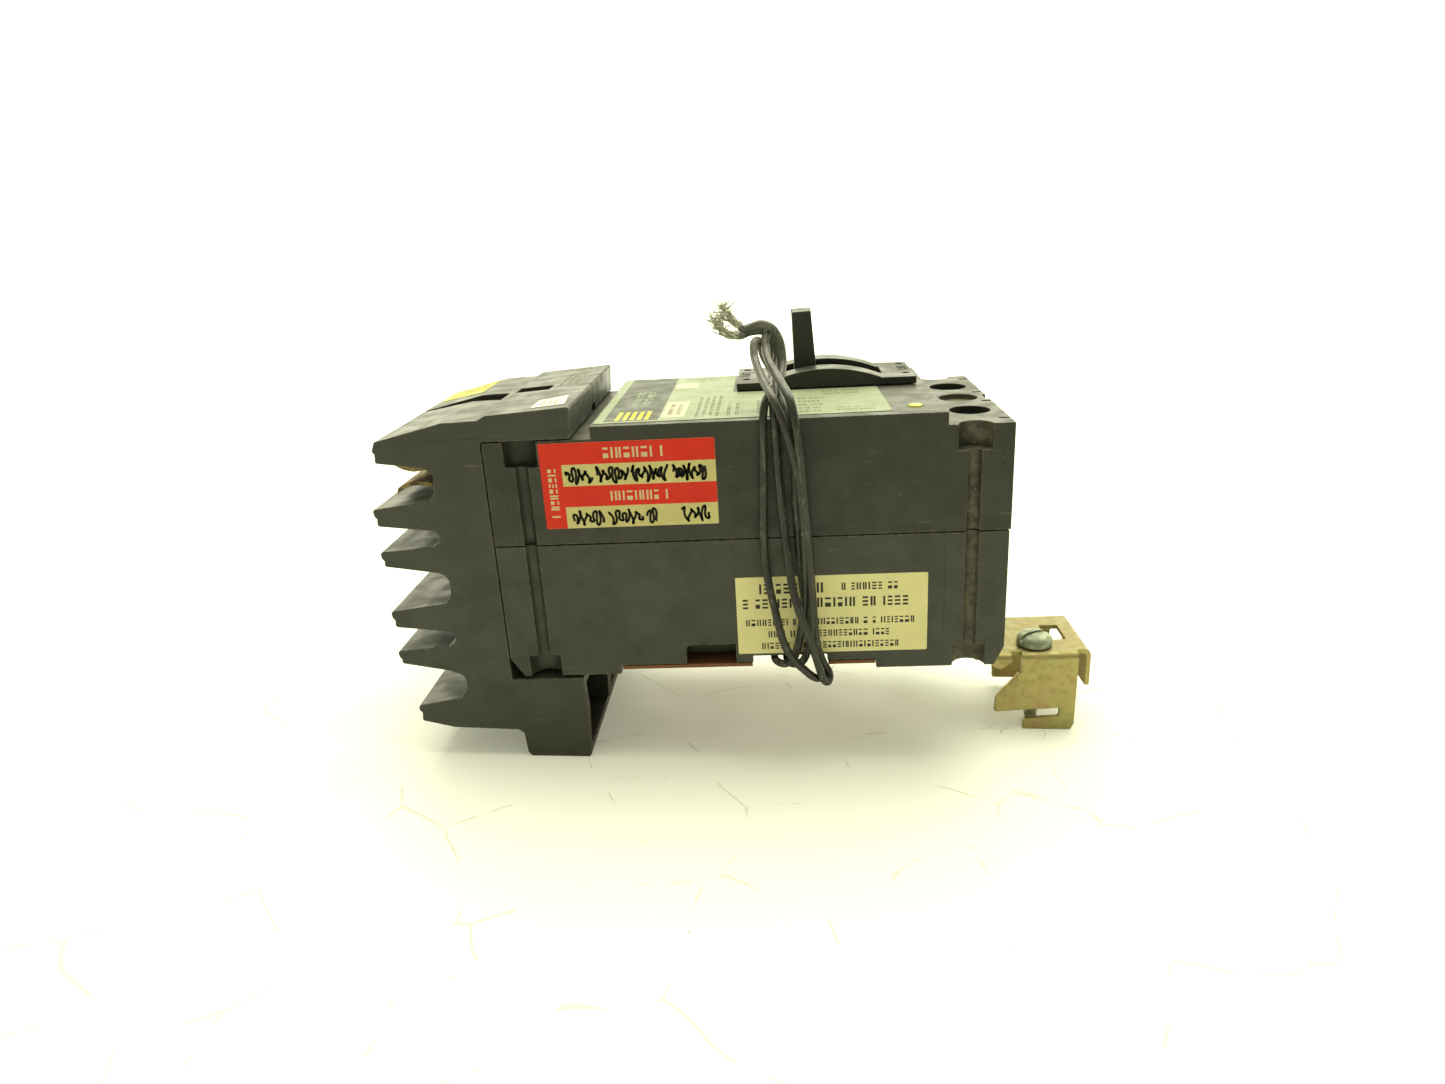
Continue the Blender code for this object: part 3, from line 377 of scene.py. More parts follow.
class Finish:
    """A Principled material whose inputs are strung together from procedural nodes."""

    def __init__(self, name, color, roughness, metallic=0.0):
        self.mat = bpy.data.materials.new(name)
        self.mat.use_nodes = True
        self.tree = self.mat.node_tree
        self.shader = self.tree.nodes["Principled BSDF"]
        self.color = (*color, 1.0)
        self.shader.inputs["Metallic"].default_value = metallic
        self.rough = roughness
        self.normal = None
        self.point = self.millimetres()

    @classmethod
    def reopen(cls, mat):
        """Carry on from a finished material, to lay more over its colour."""
        more = cls.__new__(cls)
        more.mat, more.tree = mat, mat.node_tree
        more.shader = more.tree.nodes["Principled BSDF"]
        more.color = more.shader.inputs["Base Color"].links[0].from_socket
        more.point = more.millimetres()
        return more

    def millimetres(self):
        place = self.node("ShaderNodeTexCoord").outputs["Object"]
        return self.vector("MULTIPLY", place, (1000.0, 1000.0, 1000.0)).outputs[0]

    def node(self, kind, **settings):
        made = self.tree.nodes.new(kind)
        for key, value in settings.items():
            setattr(made, key, value)
        return made

    def wire(self, source, socket):
        wire(self.tree, source, socket)

    def vector(self, operation, *values):
        made = self.node("ShaderNodeVectorMath", operation=operation)
        for value, socket in zip(values, made.inputs):
            self.wire(value, socket)
        return made

    def texture(self, kind, scale, place, detail=None, **settings):
        made = self.node("ShaderNodeTex" + kind, **settings)
        self.wire(place, made.inputs["Vector"])
        made.inputs["Scale"].default_value = scale
        if detail is not None:
            made.inputs["Detail"].default_value = detail
        return made.outputs

    def stretched(self, stretch):
        if stretch is None:
            return self.point
        return self.vector("MULTIPLY", self.point, stretch).outputs[0]

    def ramp(self, value, low, high, to_low=0.0, to_high=1.0):
        return map_range(self.tree, value, low, high, to_low, to_high)

    def noise(self, size, low=0.4, high=0.6, detail=3.0, stretch=None):
        """Cloudy pattern with features of about this size in millimetres, mapped to 0..1."""
        cloud = self.texture("Noise", 1.0 / size, self.stretched(stretch), detail=detail)
        return self.ramp(cloud["Fac"], low, high)

    def specks(self, spacing, radius, share):
        """Small round dots, in a share of the cells of a random lattice."""
        cells = self.texture("Voronoi", 1.0 / spacing, self.point)
        dot = self.ramp(cells["Distance"], radius, radius * 0.6)
        split = self.node("ShaderNodeSeparateColor")
        self.wire(cells["Color"], split.inputs[0])
        return self.times(dot, self.ramp(split.outputs[0], share, share - 0.02))

    def scratches(self, spacing, width):
        """Sparse thin lines, along the borders of large random cells."""
        sway = self.texture("Noise", 0.6 / spacing, self.point)["Color"]
        bent = self.vector("MULTIPLY_ADD", sway, (spacing, spacing, 0.0), self.point).outputs[0]
        cells = self.texture("Voronoi", 1.0 / spacing, bent, feature="DISTANCE_TO_EDGE")
        line = self.ramp(cells["Distance"], width * 2.0, width)
        return self.times(line, self.noise(spacing * 0.4, 0.52, 0.58))

    def combine(self, operation, a, b):
        made = self.node("ShaderNodeMath", operation=operation)
        self.wire(a, made.inputs[0])
        self.wire(b, made.inputs[1])
        return made.outputs[0]

    def times(self, a, b):
        return self.combine("MULTIPLY", a, b)

    def plus(self, a, b):
        return self.combine("ADD", a, b)

    def edges(self, radius, low=0.02, high=0.25):
        """Mask of the sharp edges, from the difference between rounded and true normals."""
        true = self.node("ShaderNodeNewGeometry").outputs["True Normal"]
        dot = self.vector("DOT_PRODUCT", self.rounded(radius), true)
        return self.ramp(dot.outputs["Value"], 1.0 - low, 1.0 - high)

    def part(self, vector, axis):
        split = self.node("ShaderNodeSeparateXYZ")
        self.wire(vector, split.inputs[0])
        return split.outputs[axis]

    def upward(self):
        normal = self.node("ShaderNodeNewGeometry").outputs["Normal"]
        return self.ramp(self.part(normal, "Z"), 0.6, 0.95)

    def around(self, spot, full, none):
        """Mask of what lies near a vertical line through the spot (x, y)."""
        gap = self.vector("DISTANCE", self.stretched((1.0, 1.0, 0.0)), (*spot, 0.0))
        return self.ramp(gap.outputs["Value"], none, full)

    def above(self, low, high):
        return self.ramp(self.part(self.point, "Z"), low, high)

    def inward(self, outer, inner):
        """Mask that grows from 0 at Y = -outer to 1 at Y = -inner."""
        return self.ramp(self.part(self.point, "Y"), -outer, -inner)

    def tint(self, amount, color, strength=1.0):
        """Lay a colour over what is there, by a 0..1 mask."""
        mix = self.node("ShaderNodeMix", data_type="RGBA")
        if strength != 1.0:
            amount = self.times(amount, strength)
        self.wire(amount, mix.inputs[0])
        self.wire(self.color, mix.inputs[6])
        self.wire((*color, 1.0), mix.inputs[7])
        self.color = mix.outputs[2]

    def vary(self, amount, change):
        """Change the roughness by a 0..1 mask."""
        self.rough = self.plus(self.rough, self.times(amount, change))

    def bump(self, height, depth, strength=1.0):
        made = self.node("ShaderNodeBump")
        made.inputs["Strength"].default_value = strength
        made.inputs["Distance"].default_value = depth * MM
        self.wire(height, made.inputs["Height"])
        if self.normal is not None:
            self.wire(self.normal, made.inputs["Normal"])
        self.normal = made.outputs["Normal"]

    def rounded(self, radius):
        soft = self.node("ShaderNodeBevel", samples=4)
        soft.inputs["Radius"].default_value = radius * MM
        return soft.outputs["Normal"]

    def round_edges(self, radius):
        self.normal = self.rounded(radius)

    def done(self, **extra):
        self.wire(self.color, self.shader.inputs["Base Color"])
        self.wire(self.rough, self.shader.inputs["Roughness"])
        if self.normal is not None:
            self.wire(self.normal, self.shader.inputs["Normal"])
        for key, value in extra.items():
            self.shader.inputs[key.replace("_", " ")].default_value = value
        return self.mat


def phenolic(name, color, worn, dust_and_sheen, groove=None):
    """Moulded thermoset: cloudy charcoal, fine grain, pale filler specks, rubbed edges, dust on the
    upward faces that doubles as painted sheen.
    """
    f = Finish(name, color, 0.38)
    f.round_edges(0.25)
    f.tint(f.noise(22.0, 0.35, 0.7), scaled(color, 1.4), 0.55)
    f.tint(f.noise(6.0, 0.5, 0.72), scaled(color, 0.72), 0.5)
    f.tint(f.noise(0.5, 0.45, 0.62), scaled(color, 1.5), 0.3)
    scuff = f.times(f.noise(2.4, 0.63, 0.7, 4.0, (0.16, 1.0, 1.0)), f.noise(15.0, 0.5, 0.62))
    f.tint(scuff, worn, 0.28)
    f.tint(f.specks(2.6, 0.05, 0.30), (0.42, 0.40, 0.31), 0.75)
    # Dust on the upward faces, which also lightens the tops as painted sheen.
    f.tint(f.times(f.upward(), f.noise(9.0, 0.36, 0.66, 5.0)), dust_and_sheen, 0.35)
    f.tint(f.times(f.edges(0.7, 0.02, 0.2), f.noise(1.8, 0.42, 0.58)), worn, 1.0)
    if groove:
        inside = f.times(f.around(groove, 5.0, 5.4), f.inward(38.0, 37.4))
        f.tint(f.times(inside, f.noise(3.0, 0.38, 0.62, 4.0)), (0.135, 0.115, 0.07), 0.75)
        f.tint(f.times(inside, f.specks(1.6, 0.14, 0.3)), (0.40, 0.37, 0.26), 0.8)
        f.tint(f.around((WELL_X, 0.0), 5.9, 6.1), (0.125, 0.117, 0.08), 0.85)
    f.vary(f.noise(7.0, 0.4, 0.62, 4.0), 0.18)
    f.vary(scuff, 0.15)
    f.bump(f.noise(0.35, 0.3, 0.7), 0.012, 0.6)
    f.bump(f.noise(5.0, 0.3, 0.7), 0.05, 0.5)
    return f.done()


def worn_handle(name, color, worn, dust_and_sheen, top):
    """Handle plastic, rubbed pale on its top."""
    mat = phenolic(name, color, worn, dust_and_sheen)
    f = Finish.reopen(mat)
    rubbed = f.times(f.above(top - 0.5, top - 0.1), f.noise(2.2, 0.3, 0.55, 4.0))
    f.tint(rubbed, (0.07, 0.072, 0.055), 0.9)
    f.wire(f.color, f.shader.inputs["Base Color"])
    return mat


def metal(name, color, tarnish, rough=0.35, metallic=0.9):
    """Aged metal: tarnish in clouds and spots, rubbed edges, fine grain."""
    f = Finish(name, color, rough, metallic)
    f.round_edges(0.15)
    f.tint(f.noise(5.0, 0.42, 0.66, 5.0), tarnish, 0.8)
    f.tint(f.noise(0.8, 0.52, 0.64, 2.0), scaled(tarnish, 0.5), 0.5)
    f.tint(f.specks(1.7, 0.16, 0.25), scaled(tarnish, 0.4), 0.6)
    f.tint(f.edges(0.3), scaled(color, 1.25), 0.5)
    f.vary(f.noise(2.5, 0.4, 0.62), 0.25)
    f.bump(f.noise(0.5, 0.3, 0.7), 0.012, 0.5)
    return f.done()


def passivated(name):
    """Yellow chromate over zinc: satin gold that drifts from green to pink, rubbed at bends, with
    painted shade that darkens its upward faces.
    """
    f = Finish(name, (0.47, 0.385, 0.15), 0.36, 0.62)
    f.round_edges(0.2)
    f.tint(f.noise(14.0, 0.42, 0.62), (0.43, 0.41, 0.15), 0.7)
    f.tint(f.noise(9.0, 0.50, 0.68), (0.52, 0.33, 0.17), 0.6)
    f.tint(f.noise(2.2, 0.52, 0.72, 5.0), (0.28, 0.21, 0.08), 0.5)
    # Painted shade: the upward faces are darkened.
    f.tint(f.upward(), (0.20, 0.165, 0.07), 0.7)
    f.tint(f.times(f.edges(1.2, 0.02, 0.2), f.noise(0.8, 0.5, 0.58)), (0.15, 0.12, 0.05), 0.85)
    f.tint(f.specks(2.4, 0.1, 0.2), (0.16, 0.13, 0.06), 0.8)
    f.vary(f.noise(3.0, 0.4, 0.62), 0.2)
    f.bump(f.noise(0.7, 0.3, 0.7, 3.0, (1.0, 0.3, 1.0)), 0.012, 0.5)
    return f.done()


GOLD_ZINC = passivated("yellow_zinc")


def printed(name, color, grime, rough=0.5, metallic=0.0, coat=0.0):
    """Label stock or ink: slight mottle, handling grime, a few scuffs."""
    f = Finish(name, color, rough, metallic)
    f.tint(f.noise(7.0, 0.45, 0.75, 5.0), grime, 0.35)
    f.tint(f.noise(0.9, 0.55, 0.75, 2.0), grime, 0.3)
    f.tint(f.specks(4.0, 0.05, 0.35), scaled(grime, 0.35), 0.7)
    f.vary(f.noise(5.0, 0.4, 0.6), 0.15)
    f.bump(f.noise(1.6, 0.3, 0.7), 0.008, 0.4)
    return f.done(Coat_Weight=coat, Specular_IOR_Level=0.3)


GROOVE = (CHANNEL_X, -HALF_WIDTH)
RUBBED = (0.24, 0.22, 0.15)
# Colours of dust on upward faces that double as painted sheen; the pale one also colours wear on the
# handle trim.
DUST_AND_SHEEN = (0.14, 0.14, 0.10)
TRIM = (0.024, 0.0245, 0.019)
PALE_WEAR_DUST_AND_SHEEN = (0.20, 0.20, 0.15)
CASE_PLASTIC = phenolic("case_phenolic", (0.026, 0.0262, 0.0185), RUBBED, DUST_AND_SHEEN, GROOVE)
BASE_PLASTIC = phenolic("base_phenolic", (0.039, 0.040, 0.029), RUBBED, DUST_AND_SHEEN, GROOVE)
HOOD_PLASTIC = phenolic("hood_phenolic", (0.038, 0.0385, 0.028), RUBBED, DUST_AND_SHEEN)
TRIM_PLASTIC = phenolic("handle_phenolic", TRIM, PALE_WEAR_DUST_AND_SHEEN, PALE_WEAR_DUST_AND_SHEEN)
HANDLE_PLASTIC = worn_handle("lever_phenolic", TRIM, (0.24, 0.235, 0.18), PALE_WEAR_DUST_AND_SHEEN, HANDLE_TOP)
COPPER = metal("aged_copper", (0.36, 0.27, 0.13), (0.12, 0.085, 0.045), 0.5, 0.8)
STEEL = metal("zinc_steel", (0.52, 0.52, 0.47), (0.25, 0.25, 0.20), 0.38)
DARK_STEEL = metal("oiled_steel", (0.30, 0.29, 0.27), (0.12, 0.11, 0.09), 0.45)
SCREW_ZINC = metal("dull_zinc", (0.42, 0.45, 0.33), (0.25, 0.27, 0.18), 0.45, 0.5)
ALUMINIUM = metal("plated_aluminium", (0.62, 0.62, 0.60), (0.40, 0.40, 0.37), 0.4)
FIBRE = printed("brown_fibre", (0.24, 0.105, 0.045), (0.10, 0.045, 0.02), 0.65)
FOIL = printed("sage_foil", (0.285, 0.325, 0.205), (0.22, 0.25, 0.155), 0.46, 0.15)
FOIL_BLACK = printed("foil_black", (0.055, 0.060, 0.042), (0.10, 0.11, 0.075), 0.42, 0.15)
FOIL_YELLOW = printed("foil_yellow", (0.60, 0.52, 0.03), (0.40, 0.34, 0.03), 0.45)
FOIL_CREAM = printed("foil_cream", (0.66, 0.60, 0.40), (0.48, 0.42, 0.27), 0.5)
RED_INK = printed("red_ink", (0.78, 0.030, 0.010), (0.55, 0.02, 0.01), 0.42)
CREAM = printed("cream_stock", (0.70, 0.62, 0.27), (0.54, 0.46, 0.18), 0.5)
RATING = printed("rating_stock", (0.90, 0.83, 0.42), (0.78, 0.70, 0.33), 0.5)
PALE_PRINT = printed("pale_print", (0.40, 0.39, 0.30), (0.22, 0.21, 0.16), 0.6)
CREAM_PRINT = printed("cream_print", (0.74, 0.62, 0.36), (0.60, 0.40, 0.22), 0.5)
PEN = printed("pen_ink", (0.012, 0.012, 0.012), (0.04, 0.035, 0.03), 0.35)
GREY_PRINT = printed("grey_print", (0.10, 0.105, 0.07), (0.25, 0.27, 0.17), 0.5)
WHITE_STOCK = printed("white_stock", (0.80, 0.79, 0.66), (0.66, 0.64, 0.50), 0.55)
YELLOW_STOCK = printed("yellow_stock", (0.62, 0.56, 0.10), (0.48, 0.42, 0.10), 0.5)
BUTTON_YELLOW = printed("button_yellow", (0.78, 0.76, 0.06), (0.55, 0.52, 0.06), 0.35, 0.0, 0.3)
BLACK_GREEK = printed("black_print", (0.03, 0.03, 0.025), (0.08, 0.07, 0.05), 0.45)


def insulation():
    """Rubbery black, with a painted pale sheen where the leads arch over the deck."""
    f = Finish("lead_insulation", (0.022, 0.022, 0.017), 0.27)
    f.tint(f.noise(9.0, 0.4, 0.7), (0.042, 0.042, 0.033), 0.6)
    f.tint(f.noise(1.3, 0.58, 0.66, 4.0, (1.0, 1.0, 0.25)), (0.20, 0.20, 0.16), 0.35)
    # Painted sheen: pale patches high up, where the leads arch over the deck.
    f.tint(f.times(f.above(80.0, 97.0), f.noise(4.0, 0.2, 0.55)), (0.19, 0.19, 0.15), 0.8)
    f.tint(f.specks(3.0, 0.07, 0.35), (0.5, 0.48, 0.38), 0.8)
    f.vary(f.noise(3.0, 0.4, 0.62), 0.15)
    f.bump(f.noise(1.0, 0.3, 0.7, 3.0, (1.0, 1.0, 0.3)), 0.03, 0.5)
    return f.done()


INSULATION = insulation()
STRANDS = metal("tinned_strands", (0.58, 0.58, 0.46), (0.28, 0.28, 0.20), 0.35, 0.7)
WINDING = printed("coil_tape", (0.28, 0.12, 0.05), (0.12, 0.05, 0.02), 0.5)
MOULDED = phenolic("inner_phenolic", (0.06, 0.035, 0.022), (0.16, 0.12, 0.09), (0.10, 0.08, 0.06))


def piece(obj, body, material, *nodes):
    """Give a finished object its material, and let it ride on its body in place of CAD nodes."""
    obj.data.materials.clear()
    obj.data.materials.append(material)
    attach(obj, body)
    if nodes:
        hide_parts(*nodes)
    return obj


def tubes(name, lines, material, *nodes, angle=60.0):
    """One mesh of tubes on the case, each (path, radius, sides)."""
    bm = bmesh.new()
    for path, radius, sides in lines:
        add_sweep(bm, path, radius, sides)
    return piece(shade(from_bmesh(bm, name), angle), "case", material, *nodes)


# ---- Case

def poles(x, y, z):
    return [box("pole_near", x, (-y[1], -y[0]), z), box("pole_far", x, y, z)]


def channels(low, high, pocket_low, pocket_high):
    tools = []
    for x in (-CHANNEL_X, CHANNEL_X):
        for y in (-HALF_WIDTH - 0.1, HALF_WIDTH + 0.1):
            tools.append(pin("groove", x, y, low, high, 1.9, 20))
            tools.append(pin("pocket", x, y, pocket_low, pocket_high, 4.9, 28))
    return tools


def make_base():
    """Lower half of the case: two hollow poles, screw posts, seats, wire entries and grooves."""
    top = PARTING - 0.15
    right = HALF_LENGTH - 0.4
    outline = [(-HALF_LENGTH, 4.8), (-HALF_LENGTH, top), (right, top), (right, 4.6),
               (73.0, BASE_BOTTOM), (-72.2, BASE_BOTTOM)]
    base = prism("base_moulding", outline, "XZ", -HALF_WIDTH, HALF_WIDTH)
    inner = HALF_WIDTH - WALL
    carve(base, poles((-58.0, 58.0), (POLE_WEB, inner), (5.5, 60.0)))
    carve(base, poles((-HALF_LENGTH + WALL, -57.0), (2.3, 31.0), (6.3, 61.0))
          + poles((57.0, right - WALL), (2.3, 31.0), (6.3, 61.0)))
    add(base, [pin("post", x, 0.0, 3.0, top, 4.0) for x in CASE_SCREWS])
    tools = [box("relief", (-41.6, 37.4), (-40.0, 40.0), (-3.0, 1.5))]
    tools += [pin("head", x, 0.0, low, high, 3.6)
              for x, (low, high) in zip(CASE_SCREWS, ((-3.0, 1.4), (1.0, 3.4)))]
    tools += channels(-3.0, 50.0, -3.2, 5.6)
    carve(base, tools)
    slot = [(-20.8, 1.2), (-5.5, 1.2), (-5.5, 7.8), (-19.3, 7.8), (-20.4, 7.4), (-20.8, 6.3)]
    tools = [pin("bore", x, 0.0, -3.5, 50.0, 1.8) for x in CASE_SCREWS]
    tools += [box("notch", (-0.3, 22.5), (-40.0, -29.0), (-2.8, 3.6)),
              pin("lead_hole", 9.0, -31.8, 2.0, 8.0, 3.0),
              prism("side_slot", slot, "XZ", -41.0, -31.0),
              rod("bar_seat", (8.0, -4.0, 30.0), (8.0, 4.0, 30.0), 6.5),
              box("bar_way", (1.8, 14.2), (-3.5, 3.5), (30.0, 55.0))]
    for y in (-POLE_Y, POLE_Y):
        tools.append(box("strap_way", (-80.0, -70.0), (y - 9.0, y + 9.0), (9.5, 17.5)))
        tools.append(rod("wire_entry", (70.0, y, 20.0), (80.0, y, 20.0), 7.0))
    tools += [pin("fixing", x, y, -3.0, 4.5, 1.6) for x, y in BRACKET_FIXINGS]
    carve(base, tools)
    soften(base, 0.22)
    carve(base, [box("panel", (-5.6, 57.5), (-40.0, -37.98), (-3.0, 60.0))])
    piece(shade(base), "case", BASE_PLASTIC, "base")


def make_cover():
    """Upper half: hollow under the deck and the shelves, wells and slits at the load end."""
    low = PARTING + 0.15
    outline = [(-HALF_LENGTH, low), (-HALF_LENGTH, LEDGE_TOP), (DECK_LEFT, LEDGE_TOP),
               (DECK_LEFT, DECK_TOP), (DECK_RIGHT, DECK_TOP), (DECK_RIGHT, SHELF_TOP),
               (HALF_LENGTH, SHELF_TOP), (HALF_LENGTH, low)]
    cover = prism("cover_moulding", outline, "XZ", -HALF_WIDTH, HALF_WIDTH)
    inner = HALF_WIDTH - WALL
    shelf = SHELF_TOP - WALL
    carve(cover, poles((-58.0, 56.0), (POLE_WEB, inner), (30.0, shelf)))
    step = 0.8  # keeps the edges of neighbouring cavities apart, for the rounding
    ends = [(-HALF_LENGTH + WALL, -57.0), (55.0, HALF_LENGTH - WALL)]
    tools = [tool for span in ends
             for tool in poles(span, (POLE_WEB + step, 31.0), (29.0, shelf - step))]
    tools += poles((DECK_LEFT + WALL, DECK_RIGHT - WALL), (POLE_WEB + 2 * step, inner - step),
                   (60.0, DECK_TOP - WALL))
    carve(cover, tools)
    add(cover, [pin("post", x, 0.0, low, 72.0, 4.0) for x in CASE_SCREWS]
        + [pin("boss", WELL_X, 0.0, 56.0, 72.8, 7.4)])
    shallow = SHELF_TOP - 1.7
    tools = [pin("bore", x, 0.0, 30.0, 62.0, 1.8) for x in CASE_SCREWS]
    for y, floor in ((-POLE_Y, 60.0), (0.0, shallow), (POLE_Y, 60.0)):
        tools.append(pin("well", WELL_X, y, floor, 80.0, 6.0, 56))
    tools += channels(30.0, 85.0, 66.1, 90.0)
    tools += [box("handle_way", (1.0, 50.4), (13.4, 28.6), (70.0, 85.0)),
              box("trip_way", (50.0, 64.0), (14.0, 28.0), (58.0, 71.8)),
              pin("button_hole", *BUTTON, 70.0, 85.0, 2.35),
              rod("bar_seat", (56.0, -4.0, 56.0), (56.0, 4.0, 56.0), 2.6),
              box("bar_way", (53.7, 58.3), (-3.5, 3.5), (30.0, 56.0))]
    carve(cover, tools)
    slits = [box("slit", (72.9, 80.0), (y - 0.7, y + 0.7), (71.6, 80.0))
             for y in (-31.4, -6.6, 8.0, 31.8)]
    slits += [box("end_notch", (75.0, 80.0), (-3.2, 3.2), (69.0, 80.0))]
    carve(cover, slits)
    piece(soften(cover, 0.22), "case", CASE_PLASTIC, "cover")


def make_insulator():
    side = HALF_WIDTH - 0.3
    outline = [(-41.0, -side), (-0.6, -side), (-0.6, -28.7), (22.8, -28.7), (22.8, -side),
               (37.0, -side), (37.0, side), (-41.0, side)]
    sheet = prism("insulator_sheet", outline, "XY", 0.0, 1.2)
    piece(soften(sheet, 0.1, 1), "case", FIBRE, "insulator_plate")


# ---- Jaw housing

def wide_gap(z):
    return [(-94.6, z - 1.8), (-92.7, z - 2.8), (-91.9, z - 4.3), (-91.9, z - 8.3),
            (-92.4, z - 9.8), (-94.2, z - 11.8), (-111.2, z - 13.9)]


def narrow_gap(z):
    return [(-110.4, z), (-93.8, z - 2.0), (-92.7, z - 3.6), (-92.9, z - 5.2), (-95.1, z - 7.1),
            (-110.9, z - 8.0)]


def fin_tip(z, height):
    """End of a fin below a gap: a lip at the top, then a shallow step back."""
    return [(-111.7, z - 0.5), (-111.5, z - 2.2), (-110.8, z - 3.0), (-111.0, z - height + 0.6)]


def housing_outline():
    points = [(-50.0, 74.1), (-49.5, 83.4), (-74.1, 81.8), (-76.5, 80.5), (-87.2, 80.2),
              (-107.8, 75.4), (-108.9, 72.6), (-108.2, 71.8), (-108.4, 69.0)]
    points += wide_gap(WIDE_GAP_TOP) + fin_tip(55.0, 5.4)
    points += narrow_gap(NARROW_GAP_TOP) + fin_tip(41.6, 5.4)
    points += wide_gap(WIDE_GAP_TOP - PHASE_PITCH) + fin_tip(22.0, 5.4)
    points += narrow_gap(NARROW_GAP_TOP - PHASE_PITCH) + fin_tip(8.6, 5.0)
    points += [(-96.0, 1.2), (-92.4, -0.3), (-91.4, -2.0), (-91.4, -4.3),
               (-92.2, -6.2), (-93.9, -8.5), (-107.9, -10.8), (-108.2, -12.4), (-107.3, -13.4),
               (-107.6, -16.3), (-97.4, -19.0), (-76.8, -20.4), (-75.1, -21.7), (-74.6, -28.6),
               (-73.4, -30.1), (-54.6, -30.8), (-53.9, -29.9), (-53.2, -13.1), (-53.8, -2.4),
               (SEAM_X, -2.4), (SEAM_X, 74.1)]
    return points


def make_housing(name, side):
    near, far = sorted((side * 0.05, side * HALF_WIDTH))
    outline = fillet(housing_outline(), 0.7, 3)
    half = prism(name, outline, "XZ", near, far)
    inner = sorted((side * 3.0, side * 35.6))
    pole = side * POLE_Y
    mouth = JAW_TOP[side]
    carve(half, [box("foot_hollow", (-70.5, -50.0), inner, (-27.8, -5.4)),
                 box("strap_way", (-88.2, -70.0), (pole - 12.1, pole + 12.1),
                     (9.5, mouth - 1.2)),
                 box("jaw_window", (-94.4, -86.0), (pole - 12.2, pole + 12.2),
                     (mouth - 11.4, mouth - 1.4))])
    wedge = [(-113.0, 5.4), (-107.2, 4.6), (-88.0, -5.2), (-78.0, -6.2), (-78.0, 5.2),
             (-88.0, 5.0), (-107.8, 6.8), (-113.0, 7.4)]
    carve(half, [prism("wedge", wedge, "XY", 71.0, 90.0),
                 box("slot", (-74.0, -63.0), (-2.8, 5.2), (76.6, 90.0)),
                 box("latch_hole", (-51.5, -45.0), (-1.6, 1.6) if side < 0 else (-5.0, 4.6),
                     (72.0, 76.4))])
    soften(half, 0.25)
    line = [(-97.0, 74.6), (-49.0, 76.8), (-49.0, 76.94), (-97.0, 74.74)]
    face = side * HALF_WIDTH
    carve(half, [prism("draft_line", line, "XZ", *sorted((face - side * 0.06, face + side)))])
    piece(shade(half), "case", HOOD_PLASTIC, name.replace("_moulding", "_housing"))


def make_finger(name, side, middle, flip, node):
    path = [(-86.0, 2.6), (-90.0, 2.6), (-94.5, 2.3), (-99.5, 1.35), (-102.5, 1.8),
            (-104.6, 2.7), (-106.2, 3.8)]
    line = [tuple(p) for p in smooth_path([(x, z, 0.0) for x, z in path], 4)]
    outer = [(x, z + 1.5) for x, z, _ in reversed(line)]
    outline = [(x, middle + flip * z) for x, z in [p[:2] for p in line] + outer]
    y = side * POLE_Y
    blade = prism(name, outline, "XZ", y - 11.6, y + 11.6)
    piece(soften(blade, 0.2, 2, 50.0), "case", COPPER, node)


def make_jaws():
    for prefix, side in (("near", -1), ("far", 1)):
        for level, flip in (("upper", 1), ("lower", -1)):
            make_finger(prefix + "_finger_" + level, side, JAW_TOP[side] - 6.0, flip,
                        prefix + "_jaw_" + level)


# ---- Handle, escutcheon, button

def make_escutcheon():
    half = math.sqrt(ARCH_R ** 2 - (ESC_TOP - HANDLE_Z) ** 2)
    spread = math.degrees(math.asin(half / ARCH_R))
    low = DECK_TOP + 0.4
    outline = [(ESC_LEFT, low), (ESC_LEFT, ESC_TOP)]
    outline += arc(HANDLE_X, HANDLE_Z, ARCH_R, 90.0 + spread, 90.0 - spread, 40)
    outline += [(ESC_RIGHT, ESC_TOP), (ESC_RIGHT, low)]
    bezel = prism("handle_bezel", outline, "XZ", ESC_NEAR, ESC_FAR)
    hollow = rod("hollow", (HANDLE_X, SLOT_NEAR - 2.0, HANDLE_Z),
                 (HANDLE_X, SLOT_FAR + 2.0, HANDLE_Z), ARCH_R - 1.6, 160)
    carve(bezel, [hollow])
    way = fillet([(HANDLE_X - 18.6, SLOT_NEAR), (HANDLE_X + 18.9, SLOT_NEAR),
                  (HANDLE_X + 18.9, SLOT_FAR), (HANDLE_X - 18.6, SLOT_FAR)], 0.8, 4)
    holes = [pin("hole", x, y, 70.0, 90.0, 1.3, 28) for x in (-0.2, 52.1) for y in (13.4, 31.6)]
    carve(bezel, [prism("way", way, "XY", 70.0, 90.0)] + holes)
    ribs = [box("rib", (x - 1.5, x + 1.5), (y - 0.45, y + 0.45), (ESC_TOP - 0.3, ESC_TOP + 0.3))
            for x in (-0.6, 52.0) for y in (19.6, 22.6, 25.6)]
    add(bezel, ribs)
    piece(soften(bezel, 0.2), "case", TRIM_PLASTIC, "handle_escutcheon")


